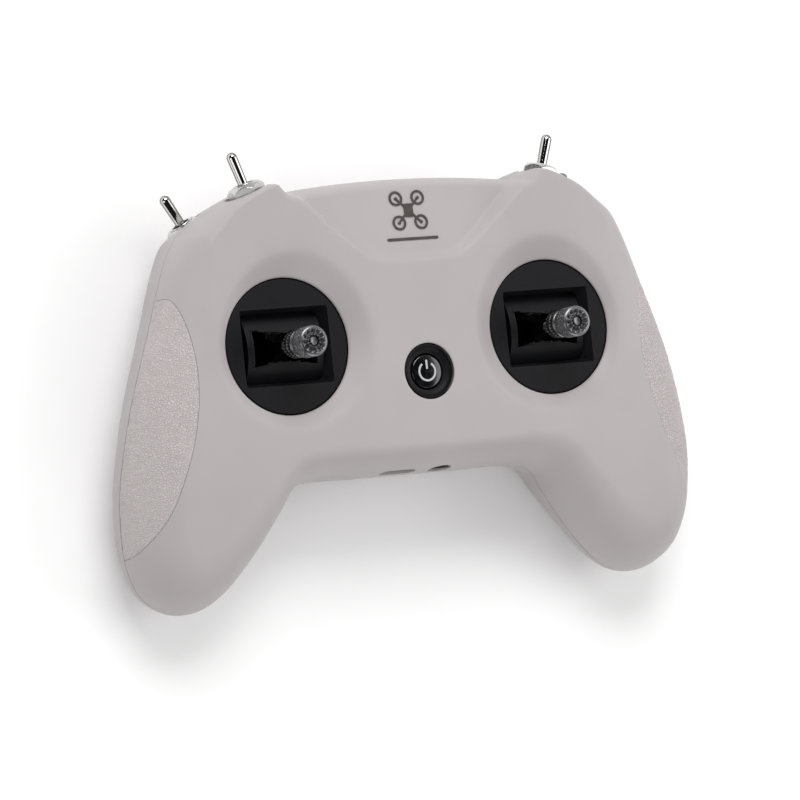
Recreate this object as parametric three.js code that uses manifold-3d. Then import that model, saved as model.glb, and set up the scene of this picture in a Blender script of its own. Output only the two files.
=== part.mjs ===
// Two-stick radio transmitter in a gamepad housing, in millimetres, +Z up.
// It lies on its back: the face looks along +Z, the toggle switches point along +Y, the ports along -Y.
// The origin is on the flat rest face of the back shell, midway between the two stick axes.
import * as THREE from "three";
import { mergeVertices } from "three/addons/utils/BufferGeometryUtils.js";
import Module from "manifold-3d";

const wasm = await Module();
wasm.setup();

// ---------------------------------------------------------------- driving dimensions
const HALF_WIDTH = 80.2; // widest point of the housing, in the grips
const WALL = 2.4; // housing wall
const GAP = 0.3; // clearance between neighbouring pieces
const STICK_X = 37.2; // stick axes, left and right of the middle
const DISC_Z = 30; // front of the black plates round the sticks
const STICK_HOLE_R = 17;
const DISH_R = 21; // the sunken ring round each stick, where it meets the face
const DISH_SHIFT = [1.7, 0.5]; // that circle lies a little inwards and upwards of the stick
const DISH_TOP_Z = 34;
const PIVOT_Z = 16.7; // where both stick axes cross
const KNOB_BASE_Z = 34;
const KNOB_TOP_Z = 44.4;
const KNOB_R = 3.8;
const POWER_Y = -8.9; // middle of the power button
const POWER_TOP_Z = 33.2;
const POWER_HOLE_R = 7;
const BUTTON_R = 4.2;
const BOARD_TOP = 19.3; // upper face of the main board
const BOARD_THICKNESS = 1.6;
const PORT_Z = 22; // middle of both port openings
const USB_X = -6;
const JACK_X = 6;
const BIND_Y = -18.5; // bind button, in the back
const BIND_R = 1.9;

// Right half of the housing's outline from the top middle to the bottom middle:
// x, y, width of the rounding towards the face, width of the rounding towards the back.
const OUTLINE = [
  [0, 42.4, 2, 7],
  [20, 42.0, 2, 7],
  [37.4, 40.6, 2, 7],
  [48.6, 36.3, 2.5, 8],
  [55.2, 32.5, 3.8, 9],
  [60.2, 29.2, 6.5, 11],
  [63.8, 23.8, 9, 14],
  [69.4, 9.5, 12, 17],
  [75.9, -10, 12, 17],
  [79.6, -28, 12, 16],
  [HALF_WIDTH, -37, 12, 15],
  [79.1, -49, 12, 13],
  [75.2, -57.5, 12, 12],
  [68, -62.1, 11.5, 12],
  [61, -62.4, 11.5, 12],
  [54.5, -59.2, 11.5, 11],
  [46.3, -50.7, 10.5, 10],
  [39.2, -41, 9, 9],
  [35, -35, 7, 8],
  [30, -33.4, 4, 7],
  [15, -33.3, 3, 6],
  [0, -33.3, 3, 6],
];
const OUTLINE_STEPS = 110; // samples along the half outline
const COLUMNS = 30; // stations across the housing, and rows along each
const ROWS = 11;
const INNER_COLUMNS = 18;
const INNER_ROWS = 8;

// V-shaped panel at the top of the face: its upper rim on the right-hand side, from the bottom corner out
const VEE_RIM = [[12.4, 18.4], [14.9, 20.1], [37.4, 40.4], [52, 53.6]];
const VEE_CHAMFER = 2.4;
const VEE_FLOOR_Z = 32.7; // height of the panel's floor at its bottom edge
const VEE_FLOOR_SLOPE = 0.12; // how fast the floor falls towards the top edge
const VEE_TOP_Y = 40.1; // top edge of the housing between the wings
const VEE_TOP_R = 290; // radius of that edge
const EMBLEM_Y = 30.6; // middle of the mark on the panel

// Grip inlays: where each one meets the face, on the right-hand side, from its top to its lower tip
const INLAY_EDGE = [
  [66.2, 14],
  [64.3, 8],
  [63, -1.5],
  [63.3, -11.3],
  [65.3, -21],
  [68.5, -30],
  [72.9, -39.3],
  [79, -47.8],
];
const INLAY_DEPTH = 1;

// Toggle switches from left to right: middle of the seat, turn away from +Y (degrees, positive to the left),
// and how far the lever leans towards the face at rest.
const TOGGLES = [
  { name: "toggle_a", x: -52.55, y: 30.75, z: 12.8, turn: 31, lean: 0 },
  { name: "toggle_b", x: -41.6, y: 38.2, z: 26, turn: 19, lean: 0 },
  { name: "toggle_c", x: 41.6, y: 38.2, z: 26, turn: -19, lean: 0 },
  { name: "toggle_d", x: 52.55, y: 30.75, z: 12.8, turn: -31, lean: -12 },
];
const BUSHING_R = 3;
const BUSHING_BORE_R = 2.4;
const BUSHING_TOP = 2.9; // above the seat
const NUT_ACROSS_FLATS = 8.5;
const NUT_TOP = 2.6;
const LEVER_R = 1.25;
const LEVER_TOP = 11.1; // above the seat
const LEVER_PIVOT = -1.5; // below the seat

// Shell screws on the right-hand side, mirrored on the left: x, y
const SCREWS = [[19.4, -25], [64.5, -45], [30, 32]];
const SCREW_R = 1.3;
const SCREW_HEAD_R = 2.4;
const SCREW_HEAD_Z = 5.2; // outer face of the head, sunk into the back
const SCREW_HEAD_HEIGHT = 1.4;
const SCREW_TIP_Z = 17;
const POST_R = 3.2;
const SLEEVE_R = 3.8;
const POST_FOOT_Z = 9; // where the front shell's posts meet the back shell's sleeves

// ---------------------------------------------------------------- materials
const plastic = (color, roughness) => new THREE.MeshStandardMaterial({ color, roughness, metalness: 0 });
const metal = (color, roughness) => new THREE.MeshStandardMaterial({ color, roughness, metalness: 1 });
const SHELL = plastic(0xbdb6b4, 0.55);
const GRAIN = plastic(0xc2b9b8, 0.7);
const BLACK = plastic(0x1b1b1d, 0.5);
const GLOSS = plastic(0x0c0c0e, 0.15);
const CHROME = metal(0xd8d8d6, 0.15);
const NICKEL = metal(0xb8babc, 0.35);
const ALLOY = metal(0x9a9a9a, 0.4);
const STEEL = metal(0x8c8f92, 0.4);
const BOARD = plastic(0x17402a, 0.5);
const GREY_PLASTIC = plastic(0x4a4d50, 0.6);
const CELL = plastic(0x9fa6ad, 0.4);

// ---------------------------------------------------------------- solids
function solid(geometry) {
  const bare = new THREE.BufferGeometry();
  const flat = geometry.index ? geometry.toNonIndexed() : geometry;
  bare.setAttribute("position", flat.getAttribute("position").clone());
  const merged = mergeVertices(bare, 1e-4);
  const vertProperties = merged.getAttribute("position").array;
  const triVerts = new Uint32Array(merged.index.array);
  return new wasm.Manifold(new wasm.Mesh({ numProp: 3, vertProperties, triVerts }));
}

function geometryOf(manifold) {
  const { vertProperties, triVerts } = manifold.getMesh();
  const geometry = new THREE.BufferGeometry();
  geometry.setAttribute("position", new THREE.BufferAttribute(vertProperties, 3));
  geometry.setIndex(new THREE.BufferAttribute(triVerts, 1));
  return geometry;
}

function indexed(points, triangles) {
  const geometry = new THREE.BufferGeometry();
  geometry.setAttribute("position", new THREE.Float32BufferAttribute(points.flat(), 3));
  geometry.setIndex(triangles.flat());
  return solid(geometry);
}

function box(x0, x1, y0, y1, z0, z1) {
  const geometry = new THREE.BoxGeometry(x1 - x0, y1 - y0, z1 - z0);
  return solid(geometry.translate((x0 + x1) / 2, (y0 + y1) / 2, (z0 + z1) / 2));
}

const AXIS_TURN = { x: [0, 0, -Math.PI / 2], y: [0, 0, 0], z: [Math.PI / 2, 0, 0] };

// A rod along an axis from a to b, centred on the point (p, q) of the other two axes in x, y, z order.
function rod(axis, radius, a, b, p = 0, q = 0, sides = 12) {
  const geometry = new THREE.CylinderGeometry(radius, radius, b - a, sides);
  geometry.applyMatrix4(new THREE.Matrix4().makeRotationFromEuler(new THREE.Euler(...AXIS_TURN[axis])));
  const mid = (a + b) / 2;
  const at = { x: [mid, p, q], y: [p, mid, q], z: [p, q, mid] }[axis];
  return solid(geometry.translate(...at));
}

// A turned piece about Z from its half profile [radius, height], written upwards and closed at the axis.
function turned(profile, sides = 24) {
  const points = profile.map(([r, z]) => new THREE.Vector2(r, z));
  return solid(new THREE.LatheGeometry(points, sides).rotateX(Math.PI / 2));
}

function extruded(outline, z0, z1) {
  const shape = new THREE.Shape(outline.map(([x, y]) => new THREE.Vector2(x, y)));
  return solid(new THREE.ExtrudeGeometry(shape, { depth: z1 - z0, bevelEnabled: false }).translate(0, 0, z0));
}

// A solid between two outlines with the same number of corners, one above the other.
function tapered(lower, upper) {
  const n = lower.length;
  const cap = THREE.ShapeUtils.triangulateShape(lower.map(([x, y]) => new THREE.Vector2(x, y)), []);
  const triangles = [];
  for (const [a, b, c] of cap) {
    triangles.push([a, c, b], [a + n, b + n, c + n]);
  }
  for (let i = 0; i < n; i++) {
    const j = (i + 1) % n;
    triangles.push([i, j, j + n], [i, j + n, i + n]);
  }
  return indexed([...lower, ...upper], triangles);
}

// Turns a profile drawn in (y, z) and extruded upwards so that it runs along X.
const YZ_TO_X = new THREE.Matrix4().makeBasis(
  new THREE.Vector3(0, 1, 0),
  new THREE.Vector3(0, 0, 1),
  new THREE.Vector3(1, 0, 0),
);

const rectangle = (hx, hy, z) => [[-hx, -hy, z], [hx, -hy, z], [hx, hy, z], [-hx, hy, z]];
const mirrored = (list) => [...list.map(([x, y]) => [-x, y]).reverse(), ...list];
const union = (list) => list.reduce((a, b) => a.add(b));

// ---------------------------------------------------------------- housing surface
const ramp = (t) => Math.min(1, Math.max(0, t));
const quarter = (t) => Math.sqrt(1 - (1 - ramp(t)) ** 2); // a quarter round, from the edge to the flat

// Height of the widest contour, which is also the parting line. It dips towards the grips.
const partingZ = (y) => 21.8 + 0.085 * (y - Math.hypot(y, 8));

// Height of the face before its edges are rounded: crowned across, raised at the wings, low in the grips.
function faceZ(x, y) {
  const rise = y > 0 ? 2.8 * (y / 40) ** 2 : -8.6 * Math.abs(y / 62) ** 3;
  return 33.5 + rise - 2 * (x / 60) ** 2;
}

// Height of the back before its edges are rounded: flat, with the grips just clear of the table.
const backZ = (y) => 1.2 * ramp((-y - 34) / 14);

function curveOf(index) {
  const points = OUTLINE.map((row) => new THREE.Vector3(row[0], row[1], row[index]));
  return new THREE.CatmullRomCurve3(points, false, "centripetal").getPoints(OUTLINE_STEPS);
}

const FACE_CURVE = curveOf(2);
const BACK_CURVE = curveOf(3);

// The half outline moved inwards by some distance: [x, y, face rounding, back rounding].
function halfOutline(inset) {
  return FACE_CURVE.map((p, i) => {
    const before = FACE_CURVE[Math.max(0, i - 1)];
    const after = FACE_CURVE[Math.min(OUTLINE_STEPS, i + 1)];
    const along = new THREE.Vector2(after.x - before.x, i ? after.y - before.y : 0).normalize();
    const x = i && i < OUTLINE_STEPS ? p.x + along.y * inset : 0;
    return [x, p.y - along.x * inset, p.z, BACK_CURVE[i].z];
  });
}

// Distance from a point to the outline, with the rounding widths there.
function nearest(outline, x, y) {
  let best = { distance: Infinity };
  for (let i = 1; i < outline.length; i++) {
    const [ax, ay, af, ab] = outline[i - 1];
    const [bx, by, bf, bb] = outline[i];
    const t = ramp(((x - ax) * (bx - ax) + (y - ay) * (by - ay)) / ((bx - ax) ** 2 + (by - ay) ** 2));
    const distance = Math.hypot(x - ax - t * (bx - ax), y - ay - t * (by - ay));
    if (distance < best.distance) {
      best = { distance, face: af + t * (bf - af), back: ab + t * (bb - ab) };
    }
  }
  return best;
}

function crossing(chain, x) {
  for (let i = 1; i < chain.length; i++) {
    const [x0, y0] = chain[i - 1];
    const [x1, y1] = chain[i];
    if ((x0 - x) * (x1 - x) <= 0 && x0 !== x1) {
      return y0 + ((y1 - y0) * (x - x0)) / (x1 - x0);
    }
  }
  return chain[chain.length - 1][1];
}

// The whole housing as one closed solid, shrunk by `inset` on every side.
function housing(inset, columns, rows) {
  const outline = halfOutline(inset);
  const widest = outline.reduce((best, p, i) => (p[0] > outline[best][0] ? i : best), 0);
  const upper = outline.slice(0, widest + 1);
  const lower = outline.slice(widest).reverse();
  const reach = outline[widest][0];
  const points = [];
  const top = [];
  const bottom = [];
  for (let j = 0; j <= columns; j++) {
    const x = reach * Math.sin(Math.PI * (j / columns - 0.5));
    const ends = j === 0 || j === columns;
    const yHigh = ends ? outline[widest][1] : crossing(upper, Math.abs(x));
    const yLow = ends ? yHigh : crossing(lower, Math.abs(x));
    top.push([]);
    bottom.push([]);
    for (let k = 0; k <= rows; k++) {
      if (ends && k > 0) {
        top[j].push(top[j][0]);
        bottom[j].push(top[j][0]);
        continue;
      }
      const y = yLow + (yHigh - yLow) * (0.5 - 0.5 * Math.cos((Math.PI * k) / rows));
      const edge = nearest(outline, Math.abs(x), y);
      const middle = partingZ(y);
      const rim = ends || k === 0 || k === rows;
      const face = middle + (faceZ(x, y) - inset - middle) * quarter(edge.distance / edge.face);
      const back = middle + (backZ(y) + inset - middle) * quarter(edge.distance / edge.back);
      top[j].push(points.length);
      points.push([x, y, rim ? middle : face]);
      bottom[j].push(rim ? top[j][k] : points.length);
      if (!rim) {
        points.push([x, y, back]);
      }
    }
  }
  const triangles = [];
  const quad = (a, b, c, d) => {
    for (const t of [[a, b, c], [a, c, d]]) {
      if (new Set(t).size === 3) triangles.push(t);
    }
  };
  for (let j = 0; j < columns; j++) {
    for (let k = 0; k < rows; k++) {
      quad(top[j][k], top[j + 1][k], top[j + 1][k + 1], top[j][k + 1]);
      quad(bottom[j][k], bottom[j][k + 1], bottom[j + 1][k + 1], bottom[j + 1][k]);
    }
  }
  return indexed(points, triangles);
}

// Everything above the parting surface lifted by `lift`.
function abovePartingLine(lift) {
  const steps = 20;
  const reach = 70;
  const profile = [[-reach, 60], [reach, 60]];
  for (let i = 0; i <= steps; i++) {
    const y = reach - (2 * reach * i) / steps;
    profile.push([y, partingZ(y) + lift]);
  }
  const shape = new THREE.Shape(profile.map(([y, z]) => new THREE.Vector2(y, z)));
  const slab = new THREE.ExtrudeGeometry(shape, { depth: 200, bevelEnabled: false });
  return solid(slab.translate(0, 0, -100).applyMatrix4(YZ_TO_X));
}

// Height of the V panel's floor.
const veeFloorZ = (y) => VEE_FLOOR_Z - VEE_FLOOR_SLOPE * (y - VEE_RIM[0][1]);

// The cutter for the V panel: a plane floor with a sloped rim, and the trimmed top edge.
// `grow` widens it all round.
function veeCutter(grow) {
  const along = new THREE.Vector2(VEE_RIM[2][0] - VEE_RIM[1][0], VEE_RIM[2][1] - VEE_RIM[1][1]).normalize();
  const inwards = (points, by) => points.map(([x, y]) => [x - along.y * by, y + along.x * by]);
  const rise = 6;
  const slope = 1.3;
  const rim = (lift, by) => mirrored(inwards(VEE_RIM, by)).map(([x, y]) => [x, y, veeFloorZ(y) + lift]);
  const inset = VEE_CHAMFER - grow;
  const recess = tapered(rim(-grow, inset), rim(rise - grow, inset - slope * rise));
  const topCentre = VEE_TOP_Y - VEE_TOP_R;
  const band = extruded(mirrored(inwards(VEE_RIM, -grow)), -5, 60);
  const trim = band.subtract(rod("z", VEE_TOP_R - grow, -6, 61, 0, topCentre, 240));
  return recess.add(trim);
}

// The bowl round a stick, from the hole's rim up to a wider circle, with the hole itself.
function dishCutter(x, grow) {
  const side = Math.sign(x);
  const circle = (radius, shift, z) => {
    const steps = grow > 0 ? 16 : 32;
    return Array.from({ length: steps }, (_, i) => {
      const a = (2 * Math.PI * i) / steps;
      const cx = x - side * DISH_SHIFT[0] * shift;
      const cy = DISH_SHIFT[1] * shift;
      return [cx + (radius + grow) * Math.cos(a), cy + (radius + grow) * Math.sin(a), z];
    });
  };
  const rim = DISC_Z + GAP - grow;
  const low = tapered(circle(STICK_HOLE_R + 0.5, 0, rim), circle(STICK_HOLE_R + 2, 0.4, rim + 1));
  const high = tapered(circle(STICK_HOLE_R + 2, 0.4, rim + 1), circle(DISH_R, 1, DISH_TOP_Z));
  const air = tapered(circle(DISH_R, 1, DISH_TOP_Z), circle(DISH_R, 1, 60));
  const bowl = union([low, high, air]);
  return grow > 0 ? bowl : bowl.add(rod("z", STICK_HOLE_R, 20, 50, x, 0, 32));
}

// ---------------------------------------------------------------- shells
const mirrorPairs = (points) => [...points, ...points.map(([x, y]) => [-x, y])];
const rods = (points, radius, z0, z1) => union(points.map(([x, y]) => rod("z", radius, z0, z1, x, y, 8)));

// Placement of a toggle switch: its own +Z runs out along the bushing, its own +Y towards the face.
function toggleMatrix({ x, y, z, turn }) {
  const angle = THREE.MathUtils.degToRad(turn);
  const out = new THREE.Vector3(-Math.sin(angle), Math.cos(angle), 0);
  const up = new THREE.Vector3(0, 0, 1);
  const across = new THREE.Vector3().crossVectors(up, out);
  return new THREE.Matrix4().makeBasis(across, up, out).setPosition(x, y, z);
}
const moved = (manifold, matrix) => manifold.transform(matrix.elements);
const atToggles = (make) => union(TOGGLES.map((toggle) => moved(make(), toggleMatrix(toggle))));

const SWITCH_HALF = [3.9, 5.2]; // half width and half height of a switch body
const SWITCH_DEPTH = 12.4; // how far it reaches below the seat
const SEAT_R = 5.8;
const SEAT_THICKNESS = 2;
const POSTS_TO_BOARD = [[11, 24], [11, -16]];
const GIMBAL_POST = 17.8; // the four posts over each gimbal, along X and along Y from the stick axis
const FRAME_TOP_Z = 25.3; // top of the gimbal frame's flange

const outer = housing(0, COLUMNS, ROWS);
const cavity = housing(WALL, INNER_COLUMNS, INNER_ROWS);
const dishes = (grow) => dishCutter(STICK_X, grow).add(dishCutter(-STICK_X, grow));

function gimbalPosts() {
  const corners = [[1, 1], [1, -1], [-1, 1], [-1, -1]];
  const places = corners.map(([i, j]) => [STICK_X + i * GIMBAL_POST, j * GIMBAL_POST]);
  return rods(mirrorPairs(places), 2, FRAME_TOP_Z + GAP, 40);
}

function shellCuts() {
  const [hx, hy] = SWITCH_HALF;
  const clear = () => box(-hx - GAP, hx + GAP, -hy - GAP, hy + GAP, -SWITCH_DEPTH - GAP, -SEAT_THICKNESS);
  return union([
    dishes(0),
    veeCutter(0),
    atToggles(() => rod("z", SEAT_R, 0, 20, 0, 0, 24)),
    atToggles(() => rod("z", BUSHING_R + GAP, -4, 1)),
    atToggles(clear),
    rods(mirrorPairs(SCREWS), SCREW_R + GAP, SCREW_HEAD_Z - 1, SCREW_TIP_Z + 1),
    rods(mirrorPairs(SCREWS), SCREW_HEAD_R + GAP, -2, SCREW_HEAD_Z + SCREW_HEAD_HEIGHT + GAP),
    rod("z", POWER_HOLE_R, 25, 50, 0, POWER_Y, 32),
    usbOpening(),
    rod("y", 3, -40, -28, JACK_X, PORT_Z),
  ]);
}

function usbOpening() {
  const half = 3.1;
  const ends = [-half, half].map((x) => rod("y", 1.9, -40, -28, USB_X + x, PORT_Z));
  return union([box(USB_X - half, USB_X + half, -40, -28, PORT_Z - 1.9, PORT_Z + 1.9), ...ends]);
}

// Everything outside the inlay's edge line, on the right-hand side, grown by `grow`.
function inlayRegion(grow) {
  const points = INLAY_EDGE.map(([x, y]) => new THREE.Vector3(x, y, 0));
  const edge = new THREE.CatmullRomCurve3(points, false, "centripetal");
  const line = edge.getPoints(18).map((p) => [p.x - grow, p.y]);
  const [topX, topY] = line[0];
  const [tipX, tipY] = line[line.length - 1];
  const far = HALF_WIDTH + 10;
  const start = [[far, tipY - grow], [far, topY + grow], [topX, topY + grow]];
  return extruded([...start, ...line.slice(1, -1), [tipX, tipY - grow]].reverse(), -5, 60);
}
const bothSides = (piece) => piece.add(piece.mirror([1, 0, 0]));

const hollow = cavity.subtract(dishes(WALL)).subtract(veeCutter(WALL));
const seats = atToggles(() => rod("z", SEAT_R + 1.5, -SEAT_THICKNESS, 5)).intersect(outer);
const wall = outer.subtract(hollow).add(seats);
const cuts = shellCuts();

function frontShell() {
  const posts = rods(mirrorPairs(SCREWS), POST_R, POST_FOOT_Z, 40);
  const boardPosts = rods(mirrorPairs(POSTS_TO_BOARD), 2, BOARD_TOP + GAP, 40);
  const inside = union([posts, boardPosts, gimbalPosts()]).intersect(outer);
  const inlayBed = bothSides(inlayRegion(GAP)).subtract(housing(INLAY_DEPTH + GAP, COLUMNS, ROWS));
  return wall.intersect(abovePartingLine(GAP / 2)).add(inside).subtract(cuts).subtract(inlayBed);
}

function backShell() {
  const sleeves = rods(mirrorPairs(SCREWS), SLEEVE_R, -1, POST_FOOT_Z - GAP).intersect(outer);
  const bindHole = rods([[0, BIND_Y]], BIND_R + GAP, -1, 5);
  return wall.subtract(abovePartingLine(-GAP / 2)).add(sleeves).subtract(cuts).subtract(bindHole);
}

function gripInlay(side) {
  const skin = outer.subtract(housing(INLAY_DEPTH, COLUMNS, ROWS)).intersect(abovePartingLine(GAP / 2));
  const region = inlayRegion(0);
  return skin.intersect(side > 0 ? region : region.mirror([1, 0, 0]));
}

// ---------------------------------------------------------------- stick gimbal, built about its own pivot
const OPENING = [12.3, 9.6]; // half sizes of the window in the face plate
const WINDOW_FLOOR = [10, 8.4];
const PLATE_FOOT = FRAME_TOP_Z + GAP - PIVOT_Z;
const PLATE_TOP = DISC_Z - PIVOT_Z;
const PLATE_FLANGE_R = 19;
const PLATE_FLANGE_TOP = 11.1;
const DRUM_R = 12.5;
const DRUM_INNER_R = 11;
const DRUM_HALF_ANGLE = 58;
const DRUM_STUB_R = 2;
const CHEEK = [8.9, 10.4]; // inner and outer face of the drum's end walls
const CHEEK_R = 12;
const CHEEK_FOOT = [8, -3.5]; // lower corner of an end wall: y, z
const SLOT = [8.7, 4.6, 3.7]; // half length, half width at the ends and in the middle
const FRAME_WALL = [15.2, 17.2];
const FRAME_FLANGE = 20; // half size of the square flange
const FRAME_FOOT = 5.5 - PIVOT_Z;
const STICK_R = 1.5;
const STICK_FOOT = -9.6; // lower end of the stick, in the yoke's slot
const CROSS_PIN_R = 1.1;
const YOKE_PIN_R = 1.2;

function facePlate() {
  const rim = STICK_HOLE_R - GAP;
  const flange = [[0, PLATE_FOOT], [PLATE_FLANGE_R, PLATE_FOOT], [PLATE_FLANGE_R, PLATE_FLANGE_TOP]];
  const disc = turned([...flange, [rim, PLATE_FLANGE_TOP], [rim, PLATE_TOP], [0, PLATE_TOP]], 32);
  const window = tapered(rectangle(...WINDOW_FLOOR, PLATE_FOOT - 0.1), rectangle(...OPENING, PLATE_TOP));
  const above = box(-OPENING[0], OPENING[0], -OPENING[1], OPENING[1], PLATE_TOP - 0.01, PLATE_TOP + 1);
  const sweep = rod("x", DRUM_R + GAP, -10.7, 10.7, 0, 0, 36);
  return disc.subtract(window.add(above)).subtract(sweep);
}

function gimbalFrame() {
  const [inner, wall] = FRAME_WALL;
  const top = FRAME_TOP_Z - PIVOT_Z;
  const flange = box(-FRAME_FLANGE, FRAME_FLANGE, -FRAME_FLANGE, FRAME_FLANGE, top - 1.3, top);
  const tube = box(-wall, wall, -wall, wall, FRAME_FOOT, top).add(flange);
  const room = box(-inner, inner, -inner, inner, FRAME_FOOT - 1, top + 1);
  const bores = rod("x", DRUM_STUB_R + GAP, -30, 30).add(rod("y", YOKE_PIN_R + GAP, -30, 30));
  return tube.subtract(room).subtract(bores);
}

// Points of the drum's arc at a radius, from one end to the other: y, z.
function drumArc(radius, steps, sign = 1) {
  const half = THREE.MathUtils.degToRad(DRUM_HALF_ANGLE);
  const angles = Array.from({ length: steps + 1 }, (_, i) => sign * half * (1 - (2 * i) / steps));
  return angles.map((a) => [radius * Math.sin(a), radius * Math.cos(a)]);
}

// A profile in (y, z) carried along X.
function alongX(profile, x0, x1) {
  const shape = new THREE.Shape(profile.map(([y, z]) => new THREE.Vector2(y, z)));
  const piece = new THREE.ExtrudeGeometry(shape, { depth: x1 - x0, bevelEnabled: false });
  return solid(piece.translate(0, 0, x0).applyMatrix4(YZ_TO_X));
}

function drum() {
  const [inner, outerFace] = CHEEK;
  const [footY, footZ] = CHEEK_FOOT;
  const arch = alongX([...drumArc(DRUM_R, 12), ...drumArc(DRUM_INNER_R, 12, -1)], -outerFace, outerFace);
  const cheek = alongX([...drumArc(CHEEK_R, 10), [-footY, footZ], [footY, footZ]], inner, outerFace);
  const bar = box(-outerFace, outerFace, 6, 7.9, -2.6, 2.6);
  const stub = rod("x", DRUM_STUB_R, inner, FRAME_WALL[1] - 0.4);
  const [length, end, middle] = SLOT;
  const half = [[length, end], [0, middle], [-length, end]];
  const bowTie = [...half, ...half.map(([x, y]) => [-x, -y])];
  const body = union([arch, bothSides(cheek), bar, bar.mirror([0, 1, 0]), bothSides(stub)]);
  return body.subtract(extruded(bowTie, 8, 14)).subtract(rod("y", CROSS_PIN_R + GAP, -9, 9));
}

function stick() {
  return union([
    rod("z", STICK_R, STICK_FOOT, KNOB_TOP_Z - PIVOT_Z - GAP),
    rod("y", 3, -4.6, 4.6),
    rod("y", CROSS_PIN_R, -7.7, 7.7, 0, 0, 8),
  ]);
}

// A lock nut with a wider knurled cap above it, as one turned piece.
function stickEnd() {
  const base = KNOB_BASE_Z - PIVOT_Z;
  const top = KNOB_TOP_Z - PIVOT_Z;
  const bore = STICK_R + GAP;
  const lockNut = [[bore, base], [3.4, base], [3.5, base + 4], [3.1, base + 4.2], [3.1, base + 4.7]];
  const cap = [[KNOB_R, base + 5.4], [KNOB_R, top - 0.5], [3.3, top], [bore, top], [bore, base]];
  return turned([...lockNut, ...cap], 16);
}

// The bail that turns about Y under the drum and is carried along by the stick's lower end.
function yoke() {
  const armFace = [8.6, 10.2];
  const bridgeZ = [-9.4, -7.6];
  const arm = box(-2.6, 2.6, ...armFace, bridgeZ[0], 2.4);
  const pin = rod("y", YOKE_PIN_R, 10, FRAME_WALL[1] - 0.4);
  const bridge = box(-3.4, 3.4, -armFace[1], armFace[1], ...bridgeZ);
  const slot = box(-STICK_R - 0.6, STICK_R + 0.6, -6, 6, bridgeZ[0] - 1, bridgeZ[1] + 1);
  return union([arm, arm.mirror([0, 1, 0]), pin, pin.mirror([0, 1, 0]), bridge]).subtract(slot);
}

const potentiometer = () => turned([[0, 0], [4.5, 0], [4.5, 2.6], [3.4, 3.2], [0, 3.2]], 16);

// ---------------------------------------------------------------- toggle switch, built about its seat
function switchBody() {
  const [hx, hy] = SWITCH_HALF;
  const top = -SEAT_THICKNESS - GAP;
  const bushing = rod("z", BUSHING_R, top - 1, BUSHING_TOP, 0, 0, 20);
  const foot = -SWITCH_DEPTH;
  const pins = [-3.6, 0, 3.6].map((y) => box(-0.9, 0.9, y - 0.4, y + 0.4, foot - 1.6, foot + 1));
  const bore = rod("z", BUSHING_BORE_R, -5, BUSHING_TOP + 1, 0, 0, 20);
  return union([box(-hx, hx, -hy, hy, foot, top), bushing, ...pins]).subtract(bore);
}

function hexNut() {
  const cornerR = NUT_ACROSS_FLATS / 2 / Math.cos(Math.PI / 6);
  return rod("z", cornerR, 0.1, NUT_TOP, 0, 0, 6).subtract(rod("z", BUSHING_R + GAP, -1, 3));
}

function lever({ lean }) {
  const tipZ = LEVER_TOP - LEVER_PIVOT - LEVER_R;
  const profile = [[0, -1.8], [1.2, -1.5], [1.8, -0.4], [1.8, 0.4], [LEVER_R, 1.6], [LEVER_R, tipZ]];
  const steps = 4;
  for (let i = 1; i < steps; i++) {
    const a = (i / steps) * (Math.PI / 2);
    profile.push([LEVER_R * Math.cos(a), tipZ + LEVER_R * Math.sin(a)]);
  }
  profile.push([0, tipZ + LEVER_R]);
  const tilt = new THREE.Matrix4().makeRotationX(THREE.MathUtils.degToRad(-lean));
  return moved(turned(profile, 12), tilt.premultiply(new THREE.Matrix4().makeTranslation(0, 0, LEVER_PIVOT)));
}

// ---------------------------------------------------------------- power button, board and the rest
function powerRim() {
  const outerR = POWER_HOLE_R - GAP;
  const bore = BUTTON_R + 0.4;
  const flange = [[bore, 28.5], [8.4, 28.5], [8.4, 29.8], [outerR, 29.8]];
  const funnel = [[outerR, POWER_TOP_Z], [6.4, POWER_TOP_Z + 0.2], [5.2, 31.9], [bore, 31.6], [bore, 28.5]];
  return turned([...flange, ...funnel], 24);
}

function powerButton() {
  const plunger = [[0, 24.6], [1.4, 24.6], [1.4, 26.6], [5.4, 26.6], [5.4, 27.8], [BUTTON_R, 27.8]];
  return turned([...plunger, [BUTTON_R, 31.8], [BUTTON_R - 0.3, 32.1], [0, 32.1]], 20);
}

const powerSwitch = () => box(-3, 3, -3, 3, BOARD_TOP + 0.1, 23).add(rod("z", 1.6, 22.9, 23.8));
const mainBoard = () => box(-15.5, 15.5, -29.5, 28, BOARD_TOP - BOARD_THICKNESS, BOARD_TOP);

function usbPort() {
  const half = 2.9;
  const shape = (r, y0, y1) => {
    const ends = [-half, half].map((x) => rod("y", r, y0, y1, x, 0));
    return union([box(-half, half, y0, y1, -r, r), ...ends]);
  };
  const body = shape(1.6, -32.4, -25).subtract(shape(1.3, -33, -26.5));
  const feet = box(-3, 3, -29.6, -26, BOARD_TOP + 0.1 - PORT_Z, -1.4);
  const tongue = box(-2.6, 2.6, -31.8, -26, -0.35, 0.35);
  return body.add(feet).add(tongue).translate([USB_X, 0, PORT_Z]);
}

function trainerJack() {
  const body = box(-3, 3, -28.7, -17, BOARD_TOP + 0.1 - PORT_Z, 2.7).add(rod("y", 2.6, -32.6, -28, 0, 0, 24));
  return body.subtract(rod("y", 1.75, -33, -19, 0, 0, 20)).translate([JACK_X, 0, PORT_Z]);
}

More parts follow.
